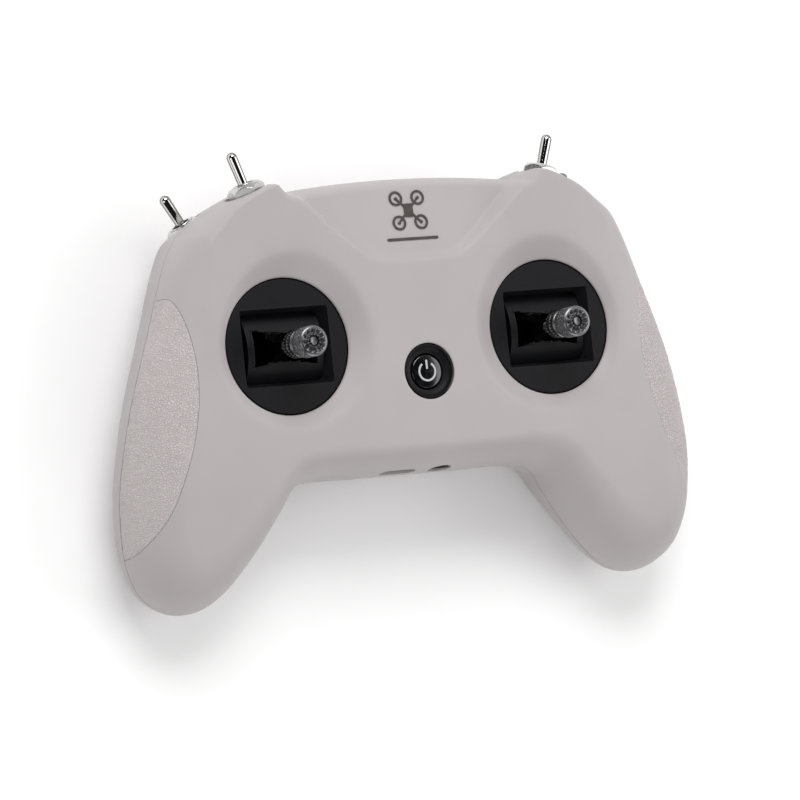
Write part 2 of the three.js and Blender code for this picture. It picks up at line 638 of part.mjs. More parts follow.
// Generic mark on the V panel: four rotor rings joined by a cross, as one flat piece.
function emblem() {
  const height = 0.35;
  const reach = 3.1;
  const corners = [[1, 1], [1, -1], [-1, 1], [-1, -1]].map(([i, j]) => [i * reach, j * reach]);
  const ring = ([x, y]) => rod("z", 1.9, 0, height, x, y).subtract(rod("z", 1.25, -1, height + 1, x, y));
  const bar = box(-reach * 1.2, reach * 1.2, -0.35, 0.35, 0, height);
  const arm = (turn) => moved(bar, new THREE.Matrix4().makeRotationZ(turn));
  const mark = union([...corners.map(ring), arm(Math.PI / 4), arm(-Math.PI / 4), rod("z", 1.2, 0, height)]);
  const tilt = new THREE.Matrix4().makeRotationX(-Math.atan(VEE_FLOOR_SLOPE));
  return moved(mark, tilt.setPosition(0, EMBLEM_Y, veeFloorZ(EMBLEM_Y) + 0.05));
}

function caseScrew() {
  const top = SCREW_HEAD_Z + SCREW_HEAD_HEIGHT;
  const rim = [[SCREW_HEAD_R, SCREW_HEAD_Z], [SCREW_HEAD_R, top - 0.4], [2, top]];
  const head = turned([[0, SCREW_HEAD_Z], ...rim, [0, top]], 12);
  const thread = [[SCREW_R, top - 0.2], [SCREW_R, SCREW_TIP_Z - 1.5], [0.3, SCREW_TIP_Z]];
  const shank = turned([[0, top - 0.2], ...thread, [0, SCREW_TIP_Z]], 8);
  const slot = box(-1.6, 1.6, -0.25, 0.25, 0, SCREW_HEAD_Z + 0.8);
  const cross = slot.add(moved(slot, new THREE.Matrix4().makeRotationZ(Math.PI / 2)));
  return head.add(shank).subtract(cross);
}

const batteryPack = () => box(-15, 15, -14, 27, WALL + 0.5, 11).add(box(-4, 4, 26, 30, 4, 9));
const shieldCan = () => box(-8, 8, 8, 22, BOARD_TOP + 0.1, BOARD_TOP + 2.8);
const antenna = () => box(-22, 22, 30.5, 31.3, 14, 24).add(box(-1, 1, 29.4, 30.6, 17, 21));

function buzzer() {
  const [x, y] = [8.6, 1.5];
  const top = BOARD_TOP + 4.6;
  return rod("z", 4.2, BOARD_TOP + 0.1, top, x, y, 24).subtract(rod("z", 0.8, top - 1.6, top + 1, x, y));
}

function bindButton() {
  const cap = [[0, 0.2], [BIND_R - 0.3, 0.2], [BIND_R, 0.5], [BIND_R, 3.4], [3, 3.4], [3, 4.4]];
  return turned([...cap, [1.2, 4.4], [1.2, 13.6], [0, 13.6]], 14).translate([0, BIND_Y, 0]);
}

// ---------------------------------------------------------------- assembly
const transmitter = new THREE.Group();

function place(name, manifold, material, parent = transmitter) {
  const piece = new THREE.Mesh(geometryOf(manifold), material);
  piece.name = name;
  parent.add(piece);
}

function addGimbal(side, x) {
  const pivot = new THREE.Group();
  pivot.position.set(x, 0, PIVOT_Z);
  transmitter.add(pivot);
  const out = Math.sign(x);
  place(`${side}_gimbal_face_plate`, facePlate(), BLACK, pivot);
  place(`${side}_gimbal_frame`, gimbalFrame(), BLACK, pivot);
  place(`${side}_gimbal_drum`, drum(), BLACK, pivot);
  place(`${side}_stick`, stick(), STEEL, pivot);
  place(`${side}_stick_end`, stickEnd(), ALLOY, pivot);
  place(`${side}_gimbal_yoke`, yoke(), BLACK, pivot);
  const reach = FRAME_WALL[1] + GAP;
  const sideways = new THREE.Matrix4().makeRotationY((out * Math.PI) / 2).setPosition(out * reach, 0, 0);
  const downwards = new THREE.Matrix4().makeRotationX(Math.PI / 2).setPosition(0, -reach, 0);
  place(`${side}_pitch_sensor`, moved(potentiometer(), sideways), GREY_PLASTIC, pivot);
  place(`${side}_roll_sensor`, moved(potentiometer(), downwards), GREY_PLASTIC, pivot);
}

function addToggle(toggle) {
  const matrix = toggleMatrix(toggle);
  place(`${toggle.name}_switch`, moved(switchBody(), matrix), NICKEL);
  place(`${toggle.name}_nut`, moved(hexNut(), matrix), NICKEL);
  place(`${toggle.name}_lever`, moved(lever(toggle), matrix), CHROME);
}

place("front_shell", frontShell(), SHELL);
place("back_shell", backShell(), SHELL);
place("left_grip_inlay", gripInlay(-1), GRAIN);
place("right_grip_inlay", gripInlay(1), GRAIN);
place("emblem", emblem(), NICKEL);
place("power_button_rim", powerRim().translate([0, POWER_Y, 0]), BLACK);
place("power_button", powerButton().translate([0, POWER_Y, 0]), GLOSS);
place("power_switch", powerSwitch().translate([0, POWER_Y, 0]), STEEL);
addGimbal("left", -STICK_X);
addGimbal("right", STICK_X);
TOGGLES.forEach(addToggle);
place("main_board", mainBoard(), BOARD);
place("usb_port", usbPort(), STEEL);
place("trainer_jack", trainerJack(), BLACK);
place("radio_shield_can", shieldCan(), STEEL);
place("buzzer", buzzer(), BLACK);
place("antenna", antenna(), BOARD);
place("battery_pack", batteryPack(), CELL);
place("bind_button", bindButton(), BLACK);
mirrorPairs(SCREWS).forEach(([x, y], i) => {
  place(`case_screw_${i + 1}`, caseScrew().translate([x, y, 0]), STEEL);
});

export default transmitter;
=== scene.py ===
"""Two-stick radio transmitter in a gamepad housing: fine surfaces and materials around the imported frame."""
from math import atan, atan2, cos, pi, radians, sin, sqrt

import bmesh
import bpy
import numpy as np
import mathutils.noise
from mathutils import Matrix, Vector
from mathutils.geometry import delaunay_2d_cdt


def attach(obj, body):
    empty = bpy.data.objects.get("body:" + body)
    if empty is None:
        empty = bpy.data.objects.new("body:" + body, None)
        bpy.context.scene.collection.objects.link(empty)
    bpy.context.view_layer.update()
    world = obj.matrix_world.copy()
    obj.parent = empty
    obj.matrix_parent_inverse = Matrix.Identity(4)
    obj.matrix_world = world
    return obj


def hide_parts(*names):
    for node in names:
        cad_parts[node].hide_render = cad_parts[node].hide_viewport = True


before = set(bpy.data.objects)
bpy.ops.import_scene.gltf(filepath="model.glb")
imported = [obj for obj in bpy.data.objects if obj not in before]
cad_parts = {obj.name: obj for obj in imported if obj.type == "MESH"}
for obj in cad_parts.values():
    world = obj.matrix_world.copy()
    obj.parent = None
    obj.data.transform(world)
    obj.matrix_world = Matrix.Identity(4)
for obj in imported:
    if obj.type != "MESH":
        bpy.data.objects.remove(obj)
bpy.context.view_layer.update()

MM = 0.001
ON_MIDDLE = 1e-6
CHUNK = 3000
HOUSING = "housing"

# -------------------------------- driving dimensions, in millimetres
STICK_X = 37.2
STICK_HOLE_R = 17.0
DISC_Z = 30.0
DISH_SLOPE = 0.56
POWER_Y = -8.9
POWER_HOLE_R = 7.0
STICK = (STICK_X, 0)
POWER = (0, POWER_Y)
SEAM = 0.1
SHELL_THICK = 2.2
TOP_Y = 40.1
TOP_BOW = 580.0
TOP_END_X = 33.6
PORT_Z = 22.0
USB_X = -6.0
JACK_X = 6.0
BIND_Y = -18.5
BIND_HOLE_R = 2.2
BIND = (0, BIND_Y)
SCREWS = [(19.4, -25.0), (64.5, -45.0), (30.0, 32.0)]
ALL_SCREWS = SCREWS + [(-x, y) for x, y in SCREWS]
SCREW_HOLE_R = 2.7
FACE_Z = 33.5
PARTING_Z = 21.8
LIP_WIDTH = 0.45
LIP_DROP = 0.3
VEE_FLOOR_Z = 32.7
VEE_SLOPE = 0.12

# The face rises towards the top edge, falls towards the hands and is crowned across: by how much, over
# what distance from the middle.
FACE_RISE = (2.8, 40)
FACE_FALL = (8.6, 62)
FACE_CROWN = (2, 60)

# Right half of the outline from the wing's corner to the bottom middle: x, y, and the widths of the
# roundings towards the face and towards the back, which FACE and BACK pick.
FACE, BACK = 0, 1
OUTLINE = [
    (37.2, 40.3, 1.2, 7), (38.6, 40.2, 1.2, 7), (48.6, 36.3, 1.8, 8), (55.2, 32.5, 3.8, 9),
    (60.2, 29.2, 6.5, 11), (63.8, 23.8, 9, 14), (69.4, 9.5, 12, 17), (75.9, -10, 12, 17),
    (79.6, -28, 12, 16), (80.2, -37, 12, 15), (79.1, -49, 12, 13), (75.2, -57.5, 12, 12),
    (68, -62.1, 11.5, 12), (61, -62.4, 11.5, 12), (54.5, -59.2, 11.5, 11), (46.3, -50.7, 10.5, 10),
    (39.2, -41, 9.5, 9), (35, -35, 8.5, 8), (30, -33.4, 7.5, 7), (15, -33.3, 7, 6), (0, -33.3, 7, 6),
]
INLAY_EDGE = [
    (90, 14), (66.2, 14), (64.3, 8), (63, -1.5), (63.3, -11.3), (65.3, -21), (68.5, -30),
    (72.9, -39.3), (79, -47.8), (90, -56),
]
INLAY_CORNER = (66.8, 14)
INLAY_GAP = 0.07
INLAY_THICK = 0.8
INLAY_BED = 0.9
INLAY_GRID = 0.42
PEBBLE_SIZE = 0.95
PEBBLE_HEIGHT = 0.17
CREASE_WIDTH = 0.45
GROOVE_DEPTH = 0.09
GROOVE_WIDTH = 0.25
PLAN_END_X = 81
PLAN_LOW_Y = -63
PLAN_HIGH_Y = 42
VEE_BOTTOM_Y = 18.4
VEE_CORNER = (14.9, 20.1)
VEE_TOP = (37.3, 40.4)
VEE_CHAMFER = 2.3
PIVOT_Z = 16.7
DRUM_R = 12.5
KNOB_BASE_Z = 34.0
KNOB_TOP_Z = 44.4
KNOB_R = 3.8
BEAD_ROWS = [
    {"low": KNOB_BASE_Z + 0.25, "high": KNOB_BASE_Z + 1.95, "count": 26, "depth": 0.34},
    {"low": KNOB_BASE_Z + 2.3, "high": KNOB_BASE_Z + 4.0, "count": 26, "depth": 0.34},
    {"low": KNOB_BASE_Z + 5.75, "high": KNOB_BASE_Z + 6.4, "count": 34, "depth": 0.24},
]
KNURL_LOW = KNOB_BASE_Z + 6.6
KNURL_HIGH = KNOB_TOP_Z - 0.5
KNURL_DEPTH = 0.3
KNURL_TEETH = 34
KNURL_RISE = 0.95
FLUTES = 12
FLUTE_DEPTH = 0.8
FLUTE_R = 2.25
BOARD_TOP = 19.3
SEAT_R = 5.8
SEAT_WALL = 1.5
SEAT_FLOOR = 1.9
SEAT_BORE_R = 3.3
BUSHING_R = 3.0
BUSHING_BORE_R = 2.4
BUSHING_TOP = 2.9
NUT_ACROSS_FLATS = 8.5
NUT_TOP = 2.6
LEVER_TOP = 11.1
LEVER_PIVOT = -1.5
LEVER_TIP_R = 1.3
TOGGLES = [
    {"name": "toggle_a", "at": (-52.55, 30.75, 12.8), "turn": 31, "lean": 0, "nut_turn": 0.2},
    {"name": "toggle_b", "at": (-41.6, 38.2, 26), "turn": 19, "lean": 0, "nut_turn": 0.45},
    {"name": "toggle_c", "at": (41.6, 38.2, 26), "turn": -19, "lean": 0, "nut_turn": 0.1},
    {"name": "toggle_d", "at": (52.55, 30.75, 12.8), "turn": -31, "lean": -12, "nut_turn": 0.7},
]


# -------------------------------- curves and fields
def centripetal(points, steps):
    """Points of a centripetal Catmull-Rom curve, with the given number of steps in each span."""
    p = np.array(points, float)
    p = np.vstack([2 * p[0] - p[1], p, 2 * p[-1] - p[-2]])
    out = []
    for i in range(1, len(p) - 2):
        spans = [max(np.linalg.norm(p[i + k, :2] - p[i + k - 1, :2]) ** 0.5, 1e-6) for k in (0, 1, 2)]
        a, b, c = spans
        x0, x1, x2, x3 = p[i - 1], p[i], p[i + 1], p[i + 2]
        t1 = ((x1 - x0) / a - (x2 - x0) / (a + b) + (x2 - x1) / b) * b
        t2 = ((x2 - x1) / b - (x3 - x1) / (b + c) + (x3 - x2) / c) * b
        for t in np.arange(steps) / steps:
            bend = (-3 * x1 + 3 * x2 - 2 * t1 - t2) * t ** 2
            out.append(x1 + t1 * t + bend + (2 * x1 - 2 * x2 + t1 + t2) * t ** 3)
    out.append(p[-2])
    return np.array(out)


def even(points, spacing):
    """The same polyline with evenly spaced points."""
    gaps = np.linalg.norm(np.diff(points[:, :2], axis=0), axis=1)
    at = np.concatenate([[0], np.cumsum(gaps)])
    wanted = np.linspace(0, at[-1], max(2, int(round(at[-1] / spacing)) + 1))
    return np.stack([np.interp(wanted, at, points[:, k]) for k in range(points.shape[1])], 1)


def half_outline():
    """The outline's right half from its top middle round to its bottom middle, with its rounding widths."""
    arc_x = np.linspace(0, TOP_END_X, 40)
    arc = np.stack([arc_x, TOP_Y - arc_x ** 2 / TOP_BOW, np.full(40, 3.0), np.full(40, 7.0)], 1)
    wing = centripetal(OUTLINE, 12)
    rows = even(np.vstack([arc, wing]), 0.7)
    rows[0, 0] = 0
    rows[-1, 0] = 0
    return rows


RIM = half_outline()


def quarter(t):
    return np.sqrt(np.clip(1 - (1 - np.clip(t, 0, 1)) ** 2, 0, 1))


def soft_min(a, b, k):
    return 0.5 * (a + b - np.sqrt((a - b) ** 2 + k * k))


def soft_step(t, k):
    return 0.5 * (1 + np.sqrt(t * t + k * k) - np.sqrt((t - 1) ** 2 + k * k))


def nearest(points, line):
    """Distance from points, folded to the right half, to a polyline, and the line's further columns at the
    nearest place."""
    a, b = line[:-1], line[1:]
    d = b[:, :2] - a[:, :2]
    squares = (d ** 2).sum(1)
    distance = np.empty(len(points))
    extra = np.empty((len(points), line.shape[1] - 2))
    for start in range(0, len(points), CHUNK):
        part = slice(start, start + CHUNK)
        px = np.abs(points[part, :1]) - a[None, :, 0]
        py = points[part, 1:2] - a[None, :, 1]
        t = np.clip((px * d[:, 0] + py * d[:, 1]) / squares, 0, 1)
        gap = np.hypot(px - t * d[:, 0], py - t * d[:, 1])
        best = gap.argmin(1)
        rows = np.arange(len(best))
        distance[part] = gap[rows, best]
        extra[part] = a[best, 2:] + t[rows, best, None] * (b[best, 2:] - a[best, 2:])
    return distance, extra


def parting_z(y):
    return PARTING_Z + 0.085 * (y - np.hypot(y, 8))


def lip_drop(gap):
    """The rounded edge of a round opening, over the distance from that opening."""
    return LIP_DROP * (1 - quarter(gap / LIP_WIDTH)) * (gap < LIP_WIDTH)


def face_z(x, y):
    """The face before its edges are rounded, with the V panel and the bowls round the sticks."""
    rise = FACE_RISE[0] * (y / FACE_RISE[1]) ** 2
    fall = -FACE_FALL[0] * np.abs(y / FACE_FALL[1]) ** 3
    z = FACE_Z + np.where(y > 0, rise, fall) - FACE_CROWN[0] * (x / FACE_CROWN[1]) ** 2
    z = z - (z - vee_floor(y)) * soft_step(vee_depth(x, y) / VEE_CHAMFER, 0.14)
    from_stick = np.hypot(np.abs(x) - STICK_X, y) - STICK_HOLE_R
    z = soft_min(z, DISC_Z + 0.3 + DISH_SLOPE * from_stick, 0.5)
    from_power = np.hypot(x, y - POWER_Y) - POWER_HOLE_R
    return z - lip_drop(from_stick) - lip_drop(from_power)


def vee_floor(y):
    return VEE_FLOOR_Z - VEE_SLOPE * (y - VEE_BOTTOM_Y)


def vee_depth(x, y):
    """Distance inwards from the V panel's edge."""
    side = np.array(VEE_TOP) - np.array(VEE_CORNER)
    side = side / np.linalg.norm(side)
    from_side = -side[1] * (np.abs(x) - VEE_CORNER[0]) + side[0] * (y - VEE_CORNER[1])
    return soft_min(y - VEE_BOTTOM_Y, from_side, 2.2)


def back_z(y):
    return 1.2 * np.clip((-y - 34) / 14, 0, 1) ** 2


def unit(rows):
    return rows / np.linalg.norm(rows, axis=1)[:, None]


def left_of(line):
    """Unit normals on the left of a polyline, at its points."""
    along = unit(np.gradient(line, axis=0))
    return np.stack([-along[:, 1], along[:, 0]], 1)


def lifted(points, front):
    """Heights of the face or the back over points in plan, and the points' distances from the outline."""
    x, y = points.T
    distance, widths = nearest(points, RIM)
    middle = parting_z(y) + (SEAM if front else -SEAM)
    flat = face_z(x, y) if front else back_z(y)
    return middle + (flat - middle) * quarter(distance / widths[:, FACE if front else BACK]), distance


def surface(points, front):
    """Points and outward normals of the face or the back, over points in plan."""
    z, distance = lifted(points, front)
    step = 0.02
    slopes = [(lifted(points + by, front)[0] - lifted(points - by, front)[0]) / (2 * step)
              for by in np.eye(2) * step]
    normal = np.stack([-slopes[0], -slopes[1], np.ones_like(z)], 1) * (1 if front else -1)
    rim = distance < 0.03
    normal[rim] = rim_normals(points[rim])
    return np.column_stack([points, z]), unit(normal)


def rim_normals(points):
    """Level outward normals for points on the outline."""
    x, y = points.T
    gap = np.hypot(np.abs(x)[:, None] - RIM[None, :, 0], y[:, None] - RIM[None, :, 1])
    outward = left_of(RIM[:, :2])[gap.argmin(1)]
    return np.column_stack([outward[:, 0] * np.where(x < 0, -1, 1), outward[:, 1], np.zeros(len(x))])


def in_loop(points, loop):
    """Whether points lie inside a closed loop."""
    x, y = points.T
    inside = np.zeros(len(x), bool)
    for (ax, ay), (bx, by) in zip(loop, np.roll(loop, -1, 0)):
        crosses = (ay > y) != (by > y)
        if ay != by:
            inside ^= crosses & (x < (bx - ax) * (y - ay) / (by - ay) + ax)
    return inside


def in_outline(points):
    """Whether points lie inside the right half of the outline."""
    middle = [[-ON_MIDDLE, RIM[-1, 1]], [-ON_MIDDLE, RIM[0, 1]]]
    return in_loop(points, np.vstack([RIM[:, :2], middle]))


# -------------------------------- fine skins of the housing
def circle(cx, cy, radius, count, half=False):
    """Points on a circle; a half circle starts and ends on the middle plane."""
    angles = np.arange(count) * 2 * pi / count
    if half:
        angles = np.linspace(-pi / 2, pi / 2, count)
    x = cx + radius * np.cos(angles)
    if half:
        x[0] = x[-1] = 0
    return np.stack([x, cy + radius * np.sin(angles)], 1)


INLAY_LINE = even(centripetal(INLAY_EDGE[1:-1], 14), 0.5)
INLAY_LOOP = np.vstack([[INLAY_EDGE[0], INLAY_CORNER], INLAY_LINE[1:], [INLAY_EDGE[-1]]])


def inlay_depth(points):
    """Distance inside the right inlay's border, negative outside it."""
    distance = nearest(points, INLAY_LOOP)[0]
    return np.where(in_loop(points, INLAY_LOOP), distance, -distance)


def offset_line(line, by):
    return line + left_of(line) * by


def rim_rings(column, levels):
    """Rings that follow the outline, packed closer where the rounding is steeper."""
    rings = []
    for k in range(1, levels + 1):
        inset = RIM[:, 2 + column] * (1 - cos(k / levels * pi / 2))
        ring = RIM[:, :2] - left_of(RIM[:, :2]) * inset[:, None]
        d = nearest(ring, RIM)[0]
        rings.append(ring[(d > inset * 0.97) & (ring[:, 0] > 0.15)])
    return np.vstack(rings)


def honeycomb(spacing):
    """Points in staggered rows over the right half of the plan."""
    row_step = 0.866 * spacing
    xs = np.arange(0.6, PLAN_END_X, spacing)
    ys = np.arange(PLAN_LOW_Y, PLAN_HIGH_Y, row_step)
    gx, gy = np.meshgrid(xs, ys)
    gx[1::2] += spacing / 2
    return np.stack([gx.ravel(), gy.ravel()], 1)


def triangulate(loops, loose):
    """Triangles over points in plan. Each loop is (points, closed) and its edges are kept."""
    points = []
    edges = []
    count = 0
    for loop, closed in loops:
        n = len(loop)
        points.append(loop)
        edges += [(count + i, count + i + 1) for i in range(n - 1)]
        if closed:
            edges.append((count + n - 1, count))
        count += n
    points = np.vstack(points + [loose])
    flat = [Vector((float(px), float(py))) for px, py in points]
    result = delaunay_2d_cdt(flat, edges, [], 0, 1e-5, False)
    return np.array([tuple(v) for v in result[0]]), np.array(result[2])


def clipped(line):
    """The part of a line that lies inside the outline, in fine steps."""
    line = even(line, 0.4)
    rows = np.flatnonzero(in_outline(line))
    return line[rows[0] - 1:rows[-1] + 2]


def middle_line(hole_y, hole_r, count):
    """The middle plane's edge, from the bottom of the outline to its top, stepping round one hole."""
    low = np.linspace(RIM[-1, 1], hole_y - hole_r, count)[1:-1]
    high = np.linspace(hole_y + hole_r, RIM[0, 1], count)[1:-1]
    hole = circle(0, hole_y, hole_r, 61, half=True)
    low = np.stack([np.zeros(len(low)), low], 1)
    high = np.stack([np.zeros(len(high)), high], 1)
    return np.vstack([[RIM[-1, :2]], low, hole, high, [RIM[0, :2]]])


def inside_points(loose, margin=0.005):
    """The points that lie well inside the outline."""
    return loose[in_outline(loose) & (nearest(loose, RIM)[0] > margin)]


def beyond(points, center, radius):
    """Which points lie outside a circle."""
    return np.hypot(points[:, 0] - center[0], points[:, 1] - center[1]) > radius


def inner_grid(spacing, column):
    """Evenly spread points, away from the rounding along the outline."""
    grid = honeycomb(spacing)
    distance, widths = nearest(grid, RIM)
    return grid[distance > widths[:, column] * 0.9]


def front_plan():
    """Plan points of the front shell: finer where the face bends, with its edges as loops."""
    fine = []
    for inset in (0.05, 0.13, 0.25, 0.45, 0.7, 1.1, 1.6, 2.2, 2.8, 3.4, 4.0, 4.6, 5.2, 5.8, 6.5, 7.3):
        fine.append(circle(STICK_X, 0, STICK_HOLE_R + inset, 150))
    for inset in (0.05, 0.13, 0.25, 0.5, 0.9, 1.6):
        fine.append(circle(0, POWER_Y, POWER_HOLE_R + inset, 61, half=True)[1:-1])
    side = np.linspace(VEE_CORNER, VEE_TOP, 60)
    bottom = np.stack([np.linspace(0.3, 14, 28), np.full(28, VEE_BOTTOM_Y)], 1)
    for by in np.arange(-0.6, 3.2, 0.3):
        fine += [offset_line(side, by), bottom + [0, by]]
    fine += [offset_line(INLAY_LINE, by) for by in (-0.8, -0.4)]
    grid = inner_grid(1.0, FACE)
    grid = grid[beyond(grid, STICK, STICK_HOLE_R + 7.8) & beyond(grid, POWER, POWER_HOLE_R + 2.0)]
    loops = [
        (RIM[:, :2], False),
        (middle_line(POWER_Y, POWER_HOLE_R, 40), False),
        (circle(STICK_X, 0, STICK_HOLE_R, 150), True),
        (clipped(offset_line(INLAY_LOOP, -INLAY_GAP)), False),
        (clipped(offset_line(INLAY_LOOP, 0.04 - INLAY_GAP)), False),
    ]
    return triangulate(loops, inside_points(np.vstack(fine + [grid, rim_rings(FACE, 14)])))


def inlay_plan():
    """Plan points of a grip inlay, fine enough for its grain."""
    grid = honeycomb(INLAY_GRID)
    grid = grid[inlay_depth(grid) > 0.3]
    edges = [offset_line(INLAY_LINE, by) for by in (0.1, 0.22)]
    loops = [(RIM[:, :2], False), (clipped(INLAY_LOOP), False)]
    return triangulate(loops, inside_points(np.vstack([grid, rim_rings(FACE, 22)] + edges)))


def back_plan():
    """Plan points of the back shell, with the screw holes and the bind button's hole."""
    holes = [circle(x, y, SCREW_HOLE_R, 40) for x, y in SCREWS]
    fine = [circle(x, y, SCREW_HOLE_R + inset, 40) for x, y in SCREWS for inset in (0.1, 0.25, 0.6)]
    fine += [circle(0, BIND_Y, BIND_HOLE_R + inset, 25, half=True)[1:-1] for inset in (0.1, 0.25, 0.6)]
    loose = inside_points(np.vstack(fine + [inner_grid(1.4, BACK), rim_rings(BACK, 12)]))
    keep = beyond(loose, BIND, BIND_HOLE_R + 0.03)
    for spot in SCREWS:
        keep &= beyond(loose, spot, SCREW_HOLE_R + 0.03)
    loops = [(RIM[:, :2], False), (middle_line(BIND_Y, BIND_HOLE_R, 45), False)]
    return triangulate(loops + [(hole, True) for hole in holes], loose[keep])


def in_front_shell(points):
    return beyond(points, STICK, STICK_HOLE_R - 0.02) & beyond(points, POWER, POWER_HOLE_R - 0.02)


def in_inlay(points):
    return inlay_depth(points) > 0


def in_back_shell(points):
    keep = beyond(points, BIND, BIND_HOLE_R - 0.01)
    for spot in SCREWS:
        keep &= beyond(points, spot, SCREW_HOLE_R - 0.02)
    return keep


def anywhere(points):
    return np.ones(len(points), bool)


def bed(points):
    """How far the front shell is sunk to take the inlay."""
    return np.where(inlay_depth(points) > 0.02 - INLAY_GAP, -INLAY_BED, 0)


def pebbles(points):
    """Height of the inlay's leather grain: rounded pebbles with creases, and a groove at the border."""
    depth = inlay_depth(points)
    rows = []
    for px, py in points:
        near, far = mathutils.noise.voronoi(Vector((px, py, 0)) / PEBBLE_SIZE)[0][:2]
        rows.append(min(1, (far - near) / CREASE_WIDTH))
    fade = np.clip((depth - 0.9) / 0.6, 0, 1)
    groove = GROOVE_DEPTH * np.exp(-(depth / GROOVE_WIDTH) ** 2)
    return PEBBLE_HEIGHT * (np.sqrt(np.array(rows)) - 1) * fade - groove


def skin(plan, wanted, front, thickness, relief=None):
    """Right half of a thick closed skin: the wanted triangles of a plan, lifted to the surface."""
    points, triangles = plan
    middle = points[triangles].mean(1)
    chosen = in_outline(middle) & wanted(middle)
    a, b, c = (points[triangles[:, k]] for k in range(3))
    area = (b[:, 0] - a[:, 0]) * (c[:, 1] - a[:, 1]) - (c[:, 0] - a[:, 0]) * (b[:, 1] - a[:, 1])
    triangles = triangles[chosen & (np.abs(area) > 1e-7)]
    used, triangles = np.unique(triangles, return_inverse=True)
    triangles = triangles.reshape(-1, 3)
    points = points[used]
    outer, normals = surface(points, front)
    distance, widths = nearest(points, RIM)
    width = widths[:, FACE if front else BACK]
    depth = np.where(distance < width + thickness, np.minimum(thickness, 0.85 * width), thickness)
    normals[np.abs(points[:, 0]) < ON_MIDDLE, 0] = 0
    if relief is not None:
        outer = outer + normals * relief(points)[:, None]
    inner = outer - normals * depth[:, None]
    return outer, inner, triangles if front else triangles[:, ::-1]


def closed_skin(outer, inner, triangles, sides):
    """One closed mesh from a skin's two faces; sides are 1 for the right half, -1 for the left, or both."""
    spots = np.zeros((0, 3))
    inside = np.zeros((0, 3))
    faces = []
    for side in sides:
        faces.append((triangles if side > 0 else triangles[:, ::-1]) + len(spots))
        spots = np.vstack([spots, outer * [side, 1, 1]])
        inside = np.vstack([inside, inner * [side, 1, 1]])
    faces = np.vstack(faces)
    if len(sides) == 2:
        half = len(outer)
        seam = np.flatnonzero(np.abs(outer[:, 0]) < ON_MIDDLE)
        same = np.arange(2 * half)
        same[seam + half] = seam
        faces = same[faces]
    count = len(spots)
    edges = {}
    for a, b, c in faces.tolist():
        for edge in ((a, b), (b, c), (c, a)):
            edges[edge] = True
    rim = [(a, b) for a, b in edges if (b, a) not in edges]
    walls = [(b, a, a + count, b + count) for a, b in rim]
    back = faces[:, ::-1] + count
    return np.vstack([spots, inside]), faces.tolist() + back.tolist() + walls


# -------------------------------- mesh helpers
def put(name, data):
    """A new object in the scene."""
    thing = bpy.data.objects.new(name, data)
    bpy.context.scene.collection.objects.link(thing)
    return thing


def new_object(name, vertices, faces, material, smooth_angle=35):
    mesh = bpy.data.meshes.new(name)
    mesh.from_pydata((np.array(vertices) * MM).tolist(), [], [list(map(int, f)) for f in faces])
    mesh.update()
    mesh.materials.append(material)
    return smooth(put(name, mesh), smooth_angle)


def smooth(piece, angle=35):
    piece.data.shade_smooth()
    piece.data.set_sharp_from_angle(angle=radians(angle))
    return piece


def bake(piece):
    """Applies the modifiers."""
    old = piece.data
    depsgraph = bpy.context.evaluated_depsgraph_get()
    piece.data = bpy.data.meshes.new_from_object(piece.evaluated_get(depsgraph))
    piece.modifiers.clear()
    bpy.data.meshes.remove(old)
    return piece


def bevel(piece, width, segments=2, angle=30):
    """Bevels the sharp edges, with normals that follow the large faces so that flats shade flat."""
    modifier = piece.modifiers.new("edges", "BEVEL")
    modifier.width = width * MM
    modifier.segments = segments
    modifier.limit_method = "ANGLE"
    modifier.angle_limit = radians(angle)
    smooth(bake(piece))
    piece.modifiers.new("normals", "WEIGHTED_NORMAL").keep_sharp = True
    return bake(piece)


def cut(piece, cutter, operation="DIFFERENCE"):
    """Boolean with a closed cutter, which is used up."""
    modifier = piece.modifiers.new("cut", "BOOLEAN")
    modifier.object = cutter
    modifier.operation = operation
    modifier.solver = "MANIFOLD"
    bake(piece)
    bpy.data.objects.remove(cutter)
    return smooth(piece)


def merge(parts):
    """The first piece, with the others joined on."""
    for part in parts[1:]:
        cut(parts[0], part, "UNION")
    return parts[0]


def join(name, parts):
    """One object from several closed meshes, each with its own material."""
    joined = bmesh.new()
    materials = []
    for part in parts:
        slots = []
        for material in part.data.materials:
            if material not in materials:
                materials.append(material)
            slots.append(materials.index(material))
        first = len(joined.faces)
        joined.from_mesh(part.data)
        joined.faces.ensure_lookup_table()
        for face in joined.faces[first:]:
            face.material_index = slots[face.material_index]
    mesh = bpy.data.meshes.new(name)
    joined.to_mesh(mesh)
    joined.free()
    for material in materials:
        mesh.materials.append(material)
    for part in parts:
        bpy.data.objects.remove(part)
    return smooth(put(name, mesh))


def lathe(name, profile, material, segments=64, shape=None):
    """A turned piece about Z from (radius, height) pairs, which start and end on the axis or close on
    themselves. shape(radius, height, angle) may give another radius and height at each point."""
    rows = []
    vertices = []
    for r, z in profile:
        if r < 1e-6:
            rows.append([len(vertices)] * segments)
            vertices.append((0, 0, z))
            continue
        rows.append(list(range(len(vertices), len(vertices) + segments)))
        for i in range(segments):
            a = 2 * pi * i / segments
            radius, height = shape(r, z, a) if shape else (r, z)
            vertices.append((radius * cos(a), radius * sin(a), height))
    pairs = list(zip(rows, rows[1:]))
    if profile[0][0] > 1e-6:
        pairs.append((rows[-1], rows[0]))
    faces = []
    for low, high in pairs:
        for i in range(segments):
            j = (i + 1) % segments
            face = [low[i], low[j], high[j], high[i]]
            face = [v for n, v in enumerate(face) if v not in face[:n]]
            if len(face) > 2:
                faces.append(face)
    return new_object(name, vertices, faces, material)


